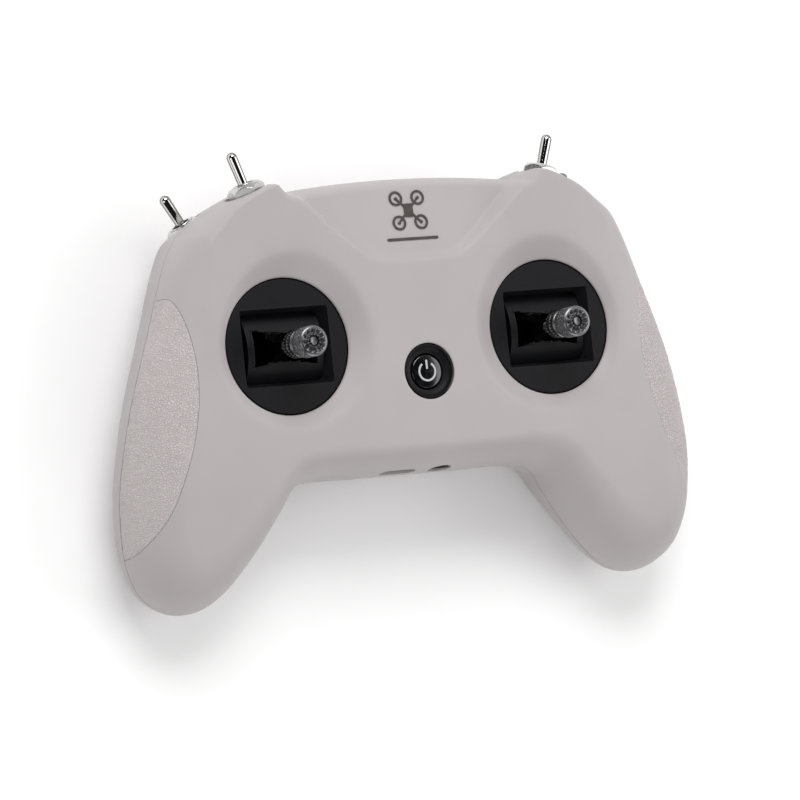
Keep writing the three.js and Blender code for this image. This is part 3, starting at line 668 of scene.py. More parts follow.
def loft(name, lower, upper, material):
    """A closed solid between two outlines (x, y, z) with the same number of points."""
    n = len(lower)
    faces = [list(range(n))[::-1], list(range(n, 2 * n))]
    faces += [[i, (i + 1) % n, n + (i + 1) % n, n + i] for i in range(n)]
    return new_object(name, list(lower) + list(upper), faces, material)


def rod(radius, z0, z1, material, segments=48):
    return lathe("rod", [(0, z0), (radius, z0), (radius, z1), (0, z1)], material, segments)


def prism(name, outline, z0, z1, material):
    return loft(name, [(x, y, z0) for x, y in outline], [(x, y, z1) for x, y in outline], material)


def block(name, low, high, material):
    outline = [(low[0], low[1]), (high[0], low[1]), (high[0], high[1]), (low[0], high[1])]
    return prism(name, outline, low[2], high[2], material)


def rounded_rectangle(hx, hy, radius, steps=6):
    outline = []
    for k, (sx, sy) in enumerate([(1, 1), (-1, 1), (-1, -1), (1, -1)]):
        for i in range(steps + 1):
            a = pi / 2 * (k + i / steps)
            x = sx * (hx - radius) + radius * cos(a)
            outline.append((x, sy * (hy - radius) + radius * sin(a)))
    return outline


def round_profile(points, radius, steps=3):
    """A lathe profile with its inner corners rounded."""
    out = [points[0]]
    for before, here, after in zip(points, points[1:], points[2:]):
        p, q, r = (np.array(v, float) for v in (before, here, after))
        reach = min(radius, np.linalg.norm(p - q) / 2.05, np.linalg.norm(r - q) / 2.05)
        start = q + (p - q) / np.linalg.norm(p - q) * reach
        end = q + (r - q) / np.linalg.norm(r - q) * reach
        for i in range(steps + 1):
            t = i / steps
            out.append(tuple((1 - t) ** 2 * start + 2 * t * (1 - t) * q + t * t * end))
    out.append(points[-1])
    return out


def place(piece, matrix):
    """Moves a mesh in place: matrix holds millimetres, and the object stays at the origin."""
    scaled = matrix.copy()
    scaled.translation = matrix.translation * MM
    piece.data.transform(scaled)
    piece.data.update()
    return piece


def shifted(x, y, z):
    return Matrix.Translation((x, y, z))


def moved(piece, x, y=0, z=0):
    return place(piece, shifted(x, y, z))


def turned(angle, axis):
    return Matrix.Rotation(angle, 4, axis)


def finish_piece(piece, body, slot, *nodes):
    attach(piece, body)
    if nodes:
        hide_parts(*nodes)


# -------------------------------- materials
class Nodes:
    """Short way to write the node tree of a material or a world. Coordinates are in millimetres."""

    def __init__(self, owner):
        owner.use_nodes = True
        self.owner = owner
        self.tree = owner.node_tree
        self.shader = self.tree.nodes.get("Principled BSDF")
        self.at = self.product(self.read("ShaderNodeTexCoord", "Object"), (1 / MM, 1 / MM, 1 / MM))

    def read(self, kind, output):
        """One output of a new node that takes no inputs."""
        return self.tree.nodes.new(kind).outputs[output]

    def link(self, value, socket):
        if isinstance(value, bpy.types.NodeSocket):
            self.tree.links.new(value, socket)
        else:
            socket.default_value = value

    def filled(self, kind, **inputs):
        """A new node with its inputs filled by name."""
        node = self.tree.nodes.new(kind)
        for name, value in inputs.items():
            self.link(value, node.inputs[name.replace("_", " ")])
        return node

    def operate(self, kind, operation, *values):
        """A new node with an operation, its inputs filled in order."""
        node = self.tree.nodes.new(kind)
        node.operation = operation
        for value, socket in zip(values, node.inputs):
            self.link(value, socket)
        return node

    def math(self, operation, *values):
        return self.operate("ShaderNodeMath", operation, *values).outputs[0]

    def product(self, first, second):
        return self.operate("ShaderNodeVectorMath", "MULTIPLY", first, second).outputs["Vector"]

    def agreement(self, first, second):
        return self.operate("ShaderNodeVectorMath", "DOT_PRODUCT", first, second).outputs["Value"]

    def noise(self, scale, detail=3.0, roughness=0.55, stretch=None):
        at = self.at if stretch is None else self.product(self.at, stretch)
        node = self.filled("ShaderNodeTexNoise", Vector=at, Scale=scale, Detail=detail, Roughness=roughness)
        return node.outputs[0]

    def cells(self, scale, feature="F1"):
        node = self.filled("ShaderNodeTexVoronoi", Vector=self.at, Scale=scale)
        node.feature = feature
        return node.outputs["Distance"]

    def span(self, value, low, high, out_low=0.0, out_high=1.0):
        """The value's range low to high, carried to another range."""
        return self.filled("ShaderNodeMapRange", Value=value, From_Min=low, From_Max=high, To_Min=out_low,
                           To_Max=out_high).outputs[0]

    def clouds(self, scale, detail=3.0, roughness=0.55, stretch=None):
        """Noise that runs from 0 to 1."""
        return self.span(self.noise(scale, detail, roughness, stretch), 0.3, 0.7)

    def mix(self, share, first, second):
        node = self.tree.nodes.new("ShaderNodeMix")
        node.data_type = "RGBA"
        self.link(share, node.inputs[0])
        self.link(first, node.inputs[6])
        self.link(second, node.inputs[7])
        return node.outputs[2]

    def bump(self, height, distance, strength=1.0):
        node = self.filled("ShaderNodeBump", Strength=strength, Distance=distance * MM, Height=height)
        self.link(node.outputs[0], self.shader.inputs["Normal"])

    def worn_edges(self, radius=0.12):
        """1 along edges sharper than the radius, 0 on flats."""
        rounded = self.filled("ShaderNodeBevel", Radius=radius * MM)
        rounded.samples = 4
        normal = self.read("ShaderNodeNewGeometry", "Normal")
        return self.span(self.agreement(rounded.outputs[0], normal), 0.99, 0.85)

    def surface(self, color, roughness, metallic=0.0, specular=0.5, coat=0.0):
        self.link(color, self.shader.inputs["Base Color"])
        self.link(roughness, self.shader.inputs["Roughness"])
        self.link(metallic, self.shader.inputs["Metallic"])
        self.link(specular, self.shader.inputs["Specular IOR Level"])
        self.link(coat, self.shader.inputs["Coat Weight"])
        self.shader.inputs["Coat Roughness"].default_value = 0.06
        return self.owner


def new_look(name):
    return Nodes(bpy.data.materials.new(name))


def srgb(red, green, blue):
    """Linear colour from 0-255 screen values."""
    values = [v / 255 for v in (red, green, blue)]
    return tuple(v / 12.92 if v <= 0.04045 else ((v + 0.055) / 1.055) ** 2.4 for v in values) + (1.0,)


def shade(color, factor):
    return tuple(min(1.0, v * factor) for v in color[:3]) + (1.0,)


SHELL_COLOR = srgb(175, 169, 170)
GRIP_COLOR = srgb(201, 193, 193)


def shell_plastic():
    """Satin moulded plastic: a fine spark-eroded texture, slight clouding, and paler rubbed edges."""
    n = new_look("shell_plastic")
    cloud = n.mix(n.span(n.noise(0.05, 2), 0.35, 0.65), shade(SHELL_COLOR, 0.975), shade(SHELL_COLOR, 1.02))
    speck = n.mix(n.clouds(5.0, 2), shade(SHELL_COLOR, 0.985), SHELL_COLOR)
    color = n.mix(0.35, cloud, speck)
    color = n.mix(n.math("MULTIPLY", n.worn_edges(), 0.35), color, shade(SHELL_COLOR, 1.12))
    texture = n.math("ADD", n.noise(4.5, 3, 0.6), n.math("MULTIPLY", n.cells(3.2), 0.35))
    n.bump(texture, 0.035, 0.55)
    rough = n.span(n.noise(0.12, 4), 0.3, 0.7, 0.46, 0.56)
    return n.surface(color, rough, specular=0.42)


def grip_plastic():
    """The same plastic with a moulded leather grain, matt creases, and painted shade that darkens the
    creases.
    """
    n = new_look("grip_plastic")
    crease = n.span(n.cells(1 / 0.62, "DISTANCE_TO_EDGE"), 0.0, 0.22)
    fine = n.noise(3.2, 4, 0.65)
    height = n.math("ADD", n.math("MULTIPLY", crease, 0.7), n.math("MULTIPLY", fine, 0.5))
    n.bump(height, 0.2, 1.0)
    # painted shade: the colour darkens towards the creases between the pebbles
    color = n.mix(crease, shade(GRIP_COLOR, 0.8), GRIP_COLOR)
    color = n.mix(n.math("MULTIPLY", n.clouds(0.08, 2), 0.4), color, shade(GRIP_COLOR, 1.03))
    rough = n.span(crease, 0, 1, 0.68, 0.5)
    return n.surface(color, rough, specular=0.4)


def black_plastic():
    """Satin black moulding with a fine even texture, a trace of dust and rubbed edges."""
    n = new_look("black_plastic")
    base = srgb(13, 13, 17)
    dust = n.span(n.noise(1.6, 5, 0.7), 0.58, 0.75, 0, 0.1)
    color = n.mix(dust, base, srgb(70, 68, 67))
    color = n.mix(n.math("MULTIPLY", n.worn_edges(), 0.3), color, srgb(92, 92, 96))
    n.bump(n.noise(6.0, 3, 0.6), 0.03, 0.6)
    rough = n.span(n.noise(0.3, 3), 0.3, 0.7, 0.48, 0.6)
    return n.surface(color, rough, specular=0.25)


def black_gloss():
    """Polished black cap with a clear coat, fingerprints and hairlines."""
    n = new_look("black_gloss")
    base = srgb(12, 12, 14)
    smudge = n.span(n.noise(0.7, 4, 0.6), 0.45, 0.7)
    color = n.mix(n.math("MULTIPLY", smudge, 0.25), base, srgb(38, 38, 42))
    hair = n.noise(2.0, 2, 0.5, stretch=(0.6, 9.0, 1.0))
    n.bump(hair, 0.004, 0.3)
    return n.surface(color, n.span(smudge, 0, 1, 0.1, 0.24), specular=0.5, coat=0.8)


def grey_plastic():
    """Mid-grey moulded nylon with flow marks."""
    n = new_look("grey_plastic")
    flow = n.noise(0.8, 4, 0.6, stretch=(1.0, 0.3, 1.0))
    color = n.mix(n.span(flow, 0.3, 0.7), srgb(70, 73, 76), srgb(84, 87, 90))
    n.bump(n.noise(5.0, 3), 0.03, 0.5)
    return n.surface(color, n.span(flow, 0.3, 0.7, 0.5, 0.62))


def printed_grey():
    """Pad-printed light grey ink, slightly uneven."""
    n = new_look("printed_grey")
    ink = n.noise(3.0, 4, 0.6)
    color = n.mix(n.span(ink, 0.3, 0.75), srgb(196, 198, 202), srgb(168, 170, 174))
    n.bump(ink, 0.006, 0.4)
    return n.surface(color, n.span(ink, 0.3, 0.7, 0.4, 0.55))


def worked_metal(name, color, rough, grain, tint=0.12, stretch=None, bump=0.01, rim=0.0, hollows=0.0):
    """Bare or plated metal: uneven polish, fine grain and brighter rubbed edges. hollows paints shade into
    the grooves of a fine mesh, and rim paints a dark reflection where the surface turns away from the eye."""
    n = new_look(name)
    cloud = n.noise(0.5, 4, 0.6)
    fine = n.noise(grain, 3, 0.6, stretch=stretch)
    tone = n.mix(n.span(cloud, 0.3, 0.7), shade(color, 1 - tint), color)
    if hollows:
        # painted shade: the colour darkens in concave grooves, where shade falls
        hollow = n.read("ShaderNodeNewGeometry", "Pointiness")
        tone = n.mix(n.span(hollow, 0.49, 0.42, 0, hollows), tone, shade(color, 0.25))
    tone = n.mix(n.math("MULTIPLY", n.worn_edges(), 0.6), tone, shade(color, 1.35))
    # painted reflection: the colour and the specular tint darken where the surface turns away from the eye
    if rim:
        away = n.read("ShaderNodeLayerWeight", "Facing")
        tone = n.mix(n.span(away, 0.2, 0.6, 0, rim), tone, shade(color, 0.12))
        n.shader.inputs["Specular Tint"].default_value = srgb(96, 94, 92)
    n.bump(fine, bump, 0.6)
    polish = n.math("ADD", n.span(cloud, 0.3, 0.7, -0.3, 0.3), n.span(fine, 0.3, 0.7, -0.25, 0.25))
    roughness = n.math("MULTIPLY_ADD", polish, rough * 0.5, rough)
    return n.surface(tone, roughness, metallic=1.0)


def solder_mask():
    """Green solder mask over copper tracks, with tinned pads."""
    n = new_look("solder_mask")
    tracks = n.span(n.noise(0.35, 0, 0.5, stretch=(1.0, 0.25, 1.0)), 0.5, 0.52)
    color = n.mix(tracks, srgb(18, 62, 38), srgb(32, 92, 54))
    pads = n.span(n.cells(0.55), 0.16, 0.13)
    color = n.mix(pads, color, srgb(196, 198, 190))
    n.bump(n.math("ADD", tracks, pads), 0.035, 0.8)
    return n.surface(color, n.span(pads, 0, 1, 0.32, 0.4), metallic=pads)


def shrink_film():
    """Blue-grey shrink wrap pulled into fine creases."""
    n = new_look("shrink_film")
    crease = n.noise(0.35, 6, 0.6, stretch=(0.3, 1.0, 1.0))
    color = n.mix(n.span(crease, 0.3, 0.7), srgb(58, 72, 92), srgb(82, 98, 120))
    n.bump(crease, 0.5, 0.6)
    return n.surface(color, n.span(crease, 0.3, 0.7, 0.2, 0.36), coat=0.3)


SHELL = shell_plastic()
GRIP = grip_plastic()
BLACK = black_plastic()
GLOSS = black_gloss()
GREY = grey_plastic()
INK = printed_grey()
# hollows=0.95: painted shade in the grooves of the knurling and the bead rows
ALLOY = worked_metal("knurled_alloy", srgb(136, 136, 138), 0.36, 7.0, bump=0.01, hollows=0.95)
# rim=0.8: painted dark reflection along the lever's sides
CHROME = worked_metal("chrome", srgb(226, 224, 222), 0.07, 3.0, 0.04, (1, 1, 0.2), bump=0.001, rim=0.8)
NICKEL = worked_metal("nickel", srgb(208, 207, 206), 0.28, 2.5, tint=0.06, bump=0.002)
MARK = worked_metal("brushed_mark", srgb(118, 112, 109), 0.34, 2.5, stretch=(0.2, 4, 1), bump=0.004)
STEEL = worked_metal("steel", srgb(150, 152, 156), 0.34, 6.0, bump=0.008)
BLACKENED = worked_metal("blackened_steel", srgb(58, 58, 61), 0.36, 6.0, bump=0.008)
BOARD = solder_mask()
FILM = shrink_film()


# -------------------------------- housing
def toggle_frame(toggle):
    """A switch's own frame: +Z runs out along the bushing, +Y towards the face."""
    angle = radians(toggle["turn"])
    out = Vector((-sin(angle), cos(angle), 0))
    up = Vector((0, 0, 1))
    matrix = Matrix((up.cross(out), up, out)).transposed().to_4x4()
    matrix.translation = toggle["at"]
    return matrix


def half_solid(plan, front):
    """Solid between one shell's outer surface and the parting plane, a hair inside both."""
    hair = 0.02
    skin_side, triangles = skin(plan, anywhere, front, hair)[1:]
    flat = skin_side.copy()
    flat[:, 2] = parting_z(flat[:, 1]) + (SEAM - hair / 4) * (1 if front else -1)
    return new_object("half", *closed_skin(skin_side, flat, triangles, (1, -1)), SHELL)


def switch_seat(shell, toggle, plan, front):
    """A round pocket with its own wall and floor, as far as it lies in this half of the housing."""
    at = toggle_frame(toggle)
    past_skin = 7
    plug = place(rod(SEAT_R + SEAT_WALL, -SEAT_FLOOR, past_skin, SHELL, 96), at)
    cut(plug, half_solid(plan, front), "INTERSECT")
    cut(shell, plug, "UNION")
    cut(shell, place(rod(SEAT_R, -0.03, 2 * past_skin, SHELL, 96), at))
    cut(shell, place(rod(SEAT_BORE_R, -4, 1, SHELL, 64), at))


def out_of_bottom(x, y=0):
    """A socket's frame: +Z runs out through the bottom edge."""
    return shifted(x, y, PORT_Z) @ turned(pi / 2, "X")


def port_cutter():
    """The openings for both sockets."""
    inner_y = -26
    length = 14
    usb = prism("usb", rounded_rectangle(5.0, 1.95, 1.9, 10), 0, length, SHELL)
    jack = rod(3.0, 0, length, SHELL)
    return merge([place(usb, out_of_bottom(USB_X, inner_y)), place(jack, out_of_bottom(JACK_X, inner_y))])


def shell_half(name, plan, wanted, front, relief=None):
    """One shell of the housing with its switch seats and socket openings."""
    outer, inner, triangles = skin(plan, wanted, front, SHELL_THICK, relief)
    shell = new_object(name, *closed_skin(outer, inner, triangles, (1, -1)), SHELL)
    for toggle in TOGGLES:
        switch_seat(shell, toggle, plan, front)
    return cut(shell, port_cutter())


def screw_sleeves():
    """Sunk seats for the screws' heads, as far as they lie inside the back."""
    bore = SCREW_HOLE_R + 0.02
    outer = SCREW_HOLE_R + 1.1
    shank_hole, low, seat, top = 1.6, 1.4, 6.0, 6.7
    profile = [(shank_hole, top), (outer, top), (outer, low), (bore, low), (bore, seat), (shank_hole, seat)]
    sleeves = [moved(lathe("sleeve", profile, SHELL), x, y) for x, y in ALL_SCREWS]
    return cut(join("sleeves", sleeves), half_solid(back_plan(), False), "INTERSECT")


def build_housing():
    front = shell_half("front_cover", front_plan(), in_front_shell, True, bed)
    finish_piece(front, HOUSING, "shell", "front_shell")
    back = shell_half("back_cover", back_plan(), in_back_shell, False)
    cut(back, screw_sleeves(), "UNION")
    finish_piece(back, HOUSING, "shell", "back_shell")
    outer, inner, triangles = skin(inlay_plan(), in_inlay, True, INLAY_THICK, pebbles)
    for side, name in ((1, "right"), (-1, "left")):
        inlay = new_object(name + "_inlay", *closed_skin(outer, inner, triangles, (side,)), GRIP, 60)
        finish_piece(inlay, HOUSING, "grip", name + "_grip_inlay")


def mark_matrix(y):
    """Lies flat on the V panel at height y on the middle line."""
    return shifted(0, y, float(vee_floor(y)) + 0.02) @ turned(-atan(VEE_SLOPE), "X")


def emblem():
    """Generic mark: four rotor rings joined by a cross, over one plain bar."""
    reach = 3.1
    ring_profile = [(1.3, 0), (1.9, 0), (1.9, 0.2), (1.85, 0.25), (1.35, 0.25), (1.3, 0.2)]
    parts = []
    for i, j in ((1, 1), (1, -1), (-1, 1), (-1, -1)):
        at = shifted(i * reach, j * reach, 0)
        parts.append(place(lathe("ring", ring_profile, MARK, 48), at))
        parts.append(place(rod(0.42, 0, 0.27, MARK, 24), at))
        arm = block("arm", (0.5, -0.28, 0), (reach * sqrt(2) - 0.3, 0.28, 0.2), MARK)
        parts.append(place(arm, turned(atan2(j, i), "Z")))
    parts.append(prism("body", rounded_rectangle(1.25, 1.7, 0.5), 0, 0.3, MARK))
    mark = place(merge(parts), mark_matrix(31.4))
    bar = prism("bar", rounded_rectangle(7.2, 0.36, 0.34), 0, 0.16, MARK)
    piece = join("rotor_mark", [mark, place(bar, mark_matrix(24.2))])
    finish_piece(bevel(piece, 0.04, 1, 60), HOUSING, "nickel", "emblem")


# -------------------------------- stick gimbals
def gimbal_plate(side, x):
    """Black disc round the stick, with a sloped window over the drum."""
    rim = STICK_HOLE_R - 0.28
    foot = 25.6
    outline = [(0, foot), (19, foot), (19, 27.8), (rim, 27.8), (rim, DISC_Z), (0, DISC_Z)]
    disc = lathe(side + "_bezel", round_profile(outline, 0.3), BLACK, 160)
    low = [(px, py, foot - 0.1) for px, py in rounded_rectangle(9.9, 8.4, 0.5)]
    high = [(px, py, DISC_Z + 0.2) for px, py in rounded_rectangle(12.3, 9.6, 0.5)]
    cut(disc, loft("window", low, high, BLACK))
    sweep = place(rod(DRUM_R + 0.25, -10.7, 10.7, BLACK, 120), turned(pi / 2, "Y"))
    cut(disc, moved(sweep, 0, 0, PIVOT_Z))
    moved(bevel(disc, 0.16, 2, 40), x)
    finish_piece(disc, HOUSING, "black_plastic", side + "_gimbal_face_plate")


def arch_outline(outer, inner, half, steps):
    angles = np.linspace(-half, half, steps + 1)
    points = [(outer * sin(a), outer * cos(a)) for a in angles]
    return points + [(inner * sin(a), inner * cos(a)) for a in angles[::-1]]


def along_x(name, outline, x0, x1, material):
    """A profile in (y, z) carried along X."""
    return loft(name, [(x0, y, z) for y, z in outline], [(x1, y, z) for y, z in outline], material)


def slot_outline(wider=1.0, taller=1.0):
    """Bow-tie outline of the drum's slot."""
    side = [(8.7, 4.6), (5, 3.95), (0, 3.6), (-5, 3.95), (-8.7, 4.6)]
    return [(sign * px * wider, sign * py * taller) for sign in (1, -1) for px, py in side]


def slot_cutter():
    return bevel(prism("slot", slot_outline(), 8, 14, BLACK), 0.35, 3, 45)


def slot_border():
    """Low raised edge round the drum's slot."""
    arch = arch_outline(DRUM_R + 0.14, DRUM_R - 0.3, radians(30), 40)
    border = along_x("border", arch, -9.4, 9.4, BLACK)
    cut(border, prism("lip", slot_outline(1.035, 1.06), 8, 14, BLACK), "INTERSECT")
    return cut(border, slot_cutter())


def gimbal_drum(side, x):
    """The rolling cover under the window: a slotted arch, end walls, ribbed cross bars and stub axles."""
    half = radians(58)
    drum = along_x(side + "_drum_cover", arch_outline(DRUM_R, 11, half, 56), -10.4, 10.4, BLACK)
    cut(drum, slot_cutter())
    cut(drum, slot_border(), "UNION")
    cheek = arch_outline(11.2, 0.01, half, 24)[:25] + [(8, -3.5), (-8, -3.5)]
    parts = [drum]
    for sign in (1, -1):
        inside, outside = sorted((sign * 8.9, sign * 10.35))
        parts.append(along_x("cheek", cheek, inside, outside, BLACK))
        near, far = sorted((sign * 6, sign * 7.9))
        parts.append(block("bar", (-9.5, near, -2.6), (9.5, far, 2.6), BLACK))
        parts.append(place(rod(2, 9.5, 16.8, STEEL, 32), turned(sign * pi / 2, "Y")))
        for k in (-3, -1, 1, 3):
            rib = rod(0.28, 10.2, 11.9, BLACK, 12)
            parts.append(moved(rib, k * 1.25, sign * (3.62 + 0.06 * abs(k))))
    moved(bevel(merge(parts), 0.08, 1, 50), x, 0, PIVOT_Z)
    finish_piece(drum, side + "_drum", "black_plastic", side + "_gimbal_drum")


def stick(side, x):
    """Threaded steel rod on its hub, with the cross pin it rolls on."""
    pitch = 0.5
    shank = 1.48
    top = KNOB_TOP_Z - PIVOT_Z - 0.5
    profile = [(0, -9.6), (1.2, -9.6), (1.45, -9.3), (1.45, -2), (2.7, -2), (3, -1.7), (3, 1.7), (2.7, 2.2)]
    z = 13.0
    profile += [(shank, 3.2), (shank, z)]
    while z < top - pitch:
        profile += [(shank, z + 0.1), (1.24, z + 0.3)]
        z += pitch
    profile += [(1.4, top), (0, top)]
    body = lathe(side + "_stick_rod", profile, BLACKENED, 48)
    pin = place(rod(1.1, -7.7, 7.7, BLACKENED, 32), turned(pi / 2, "X"))
    moved(merge([body, pin]), x, 0, PIVOT_Z)
    finish_piece(body, side + "_stick", "steel", side + "_stick")


def knurl(r, z, a):
    """Diamond knurling on the grip of a stick end: sunk crossing grooves."""
    if not (KNURL_LOW < z < KNURL_HIGH) or r < 3.4:
        return r, z
    turn = KNURL_TEETH * a
    climb = 2 * pi * z / KNURL_RISE
    ridge = min(abs(sin((turn + climb) / 2)), abs(sin((turn - climb) / 2)))
    fade = min(1, (z - KNURL_LOW) / 0.15, (KNURL_HIGH - z) / 0.15)
    return r - KNURL_DEPTH * (1 - min(1, ridge * 1.7)) * fade, z


def crown(r, z, a):
    """Radial flutes on the top face of a stick end."""
    fade = max(0, 1 - ((r - FLUTE_R) / 0.72) ** 2)
    wave = 0.5 + 0.5 * cos(FLUTES * a)
    return r, z - FLUTE_DEPTH * fade ** 0.5 * wave ** 0.7


def beaded(row, r, z, a):
    """One row of round hollows about a turned piece."""
    along = sin(pi * (z - row["low"]) / (row["high"] - row["low"]))
    return r - row["depth"] * (1 - abs(sin(row["count"] * a / 2))) * max(0, along) ** 0.5, z


def end_surface(r, z, a):
    """Beads, knurling and crown of a stick end, by height."""
    for row in BEAD_ROWS:
        if row["low"] < z < row["high"] and r > 3.2:
            return beaded(row, r, z, a)
    if z > KNOB_TOP_Z - 0.35 and r < 3.1:
        return crown(r, z, a)
    return knurl(r, z, a)


def stick_end(side, x):
    """Turned lock nut with two rows of hollows, and a knurled cap with a smooth foot and a fluted crown."""
    base = KNOB_BASE_Z
    top = KNOB_TOP_Z
    r = KNOB_R
    rows = [(1.55, base), (3.15, base), (3.32, base + 0.15)]
    for row, radius in zip(BEAD_ROWS[:2], (3.36, 3.46)):
        rows += [(radius, z) for z in np.linspace(row["low"], row["high"], 9)]
        rows += [(radius - 0.14, row["high"] + 0.12), (radius - 0.14, row["high"] + 0.22)]
    rows += [(3.1, base + 4.4), (3.1, base + 4.85), (3.35, base + 4.95), (r, base + 5.6), (r, base + 5.7)]
    rows += [(r, z) for z in np.linspace(BEAD_ROWS[2]["low"], BEAD_ROWS[2]["high"], 7)]
    rows += [(r, z) for z in np.linspace(KNURL_LOW - 0.05, KNURL_HIGH + 0.05, 42)]
    rows += [(r, top - 0.42), (r - 0.12, top - 0.26), (r - 0.4, top - 0.08), (r - 0.6, top)]
    rows += [(v, top) for v in np.linspace(3.08, 1.55, 14)]
    rows += [(1.48, top - 0.06), (1.42, top - 0.2), (1.36, top - 0.9), (1.36, base)]
    cap = lathe(side + "_stick_cap", rows, ALLOY, 224, end_surface)
    rows = [(0, top - 1.1), (1.37, top - 1.1), (1.37, top - 0.8), (0.98, top - 0.8), (0.98, top - 0.2)]
    rows += [(0.8, top - 0.04), (0.5, top - 0.1), (0, top - 0.14)]
    piece = join(side + "_stick_cap", [cap, lathe("pin", rows, ALLOY, 64)])
    finish_piece(moved(piece, x), side + "_stick", "knurled_alloy", side + "_stick_end")


# -------------------------------- toggle switches
def thread_rows(radius, z0, z1, pitch):
    rows = []
    z = z0
    while z < z1 - pitch:
        rows += [(radius, z + pitch * 0.15), (radius, z + pitch * 0.35), (radius - 0.2, z + pitch * 0.75)]
        z += pitch
    return rows


def toggle_switch(toggle):
    """Metal can with a threaded bushing and three solder pins."""
    name = toggle["name"]
    can = bevel(block(name + "_body", (-3.9, -5.2, -12.4), (3.9, 5.2, -2.3), NICKEL), 0.4, 3)
    r = BUSHING_R
    bore = BUSHING_BORE_R
    top = BUSHING_TOP
    rows = [(bore, -3.2), (r, -3.2)] + thread_rows(r, -1.9, top - 0.2, 0.5)
    rows += [(r - 0.1, top - 0.2), (r - 0.25, top), (bore + 0.12, top), (bore, top - 0.12)]
    bushing = lathe("bushing", rows, NICKEL, 64)
    pins = [block("pin", (-0.9, y - 0.35, -14), (0.9, y + 0.35, -12), NICKEL) for y in (-3.6, 0, 3.6)]
    merge([can] + [bevel(pin, 0.15, 1) for pin in pins])
    cut(can, rod(bore, -5, -2, NICKEL))
    piece = place(join(name + "_body", [can, bushing]), toggle_frame(toggle))
    finish_piece(piece, HOUSING, "nickel", name + "_switch")


def hex_nut(toggle):
    """Hexagon nut whose corners are turned down to a cone."""
    corner = NUT_ACROSS_FLATS / 2 / cos(pi / 6)
    angles = [pi / 3 * k + toggle["nut_turn"] for k in range(6)]
    outline = [(corner * cos(a), corner * sin(a)) for a in angles]
    nut = prism(toggle["name"] + "_hex", outline, 0.08, NUT_TOP, NICKEL)
    cone = [(0, 0), (corner + 0.1, 0), (corner + 0.1, 1.25), (3.85, NUT_TOP + 0.02), (0, NUT_TOP + 0.02)]
    cut(nut, lathe("cone", cone, NICKEL, 96), "INTERSECT")
    bore = BUSHING_R + 0.15
    hole = [(0, -1), (bore, -1), (bore, NUT_TOP - 0.3), (bore + 0.35, NUT_TOP + 0.1), (0, NUT_TOP + 0.1)]
    cut(nut, lathe("bore", hole, NICKEL, 64))
    place(bevel(nut, 0.07, 2, 25), toggle_frame(toggle))
    finish_piece(nut, HOUSING, "nickel", toggle["name"] + "_nut")


def toggle_lever(toggle):
    """Bat lever with a rounded tip on its ball."""
    name = toggle["name"]
    length = LEVER_TOP - LEVER_PIVOT
    ball_r = 1.85
    ball = [(ball_r * sin(a), -ball_r * cos(a)) for a in np.linspace(0, 2.2, 14)[1:]]
    shaft = [(1.15, 1.75), (1.15, 2.4), (1.24, length - 5), (LEVER_TIP_R, length - 1.5)]
    arc = np.linspace(0, pi / 2, 12)[:-1]
    tip = [(LEVER_TIP_R * cos(a), length - LEVER_TIP_R * (1 - sin(a))) for a in arc]
    profile = [(0, -ball_r)] + ball + shaft + tip + [(0, length)]
    lever = lathe(name + "_bat", profile, CHROME, 64)
    tilt = turned(radians(-toggle["lean"]), "X")
    place(lever, toggle_frame(toggle) @ shifted(0, 0, LEVER_PIVOT) @ tilt)
    finish_piece(lever, name + "_lever", "chrome", name + "_lever")


# -------------------------------- buttons, ports and screws
def power_rim():
    """Black ring whose bore opens in a rounded funnel."""
    outer = POWER_HOLE_R - 0.28
    bore = 4.55
    curve = np.linspace(0.15, pi / 2, 10)[::-1]
    rows = [(bore, 28.5), (8.4, 28.5), (8.4, 29.8), (outer, 29.8), (outer, 32.9), (outer - 0.1, 33.15)]
    rows += [(outer - 0.3, 33.25)]
    rows += [(bore + 0.7 + 1.15 * sin(t) ** 1.6, 31.85 + 1.4 * (1 - cos(t))) for t in curve]
    rows += [(bore + 0.35, 31.75), (bore + 0.1, 31.7), (bore, 31.5)]
    rim = moved(lathe("power_bezel", rows, BLACK, 128), *POWER)
    finish_piece(rim, HOUSING, "black_plastic", "power_button_rim")


def power_cap():
    """Polished cap with a rounded edge and a slight dome, on its flange and stem."""
    r, edge_z, rounding = 4.25, 31.5, 0.45
    curve = np.linspace(0.2, pi / 2, 6)
    rows = [(0, 24.6), (1.4, 24.6), (1.4, 26.6), (5.4, 26.6), (5.4, 27.8), (r, 27.8), (r, edge_z)]
    rows += [(r - rounding * (1 - cos(t)), edge_z + rounding * sin(t)) for t in curve]
    rows += [(3.0, 32.03), (1.5, 32.08), (0, 32.1)]
    button = moved(lathe("power_cap", rows, GLOSS, 96), *POWER)
    finish_piece(button, "power_button", "black_gloss", "power_button")


def power_symbol():
    """Standby symbol: a ring open at the top with a short bar, a little proud of the cap."""
    inner, outer, opening = 2.0, 2.5, radians(34)
    z0, z1 = 31.9, 32.13
    angles = np.linspace(pi / 2 + opening, 2.5 * pi - opening, 60)
    loop = [(outer * cos(a), outer * sin(a)) for a in angles]
    loop += [(inner * cos(a), inner * sin(a)) for a in angles[::-1]]
    ring = prism("ring", loop, z0, z1, INK)
    bar = moved(prism("bar", rounded_rectangle(0.26, 1.15, 0.2), z0, z1, INK), 0, 1.75)
    symbol = moved(join("power_symbol", [ring, bar]), *POWER)
    finish_piece(symbol, "power_button", "grey_plastic")


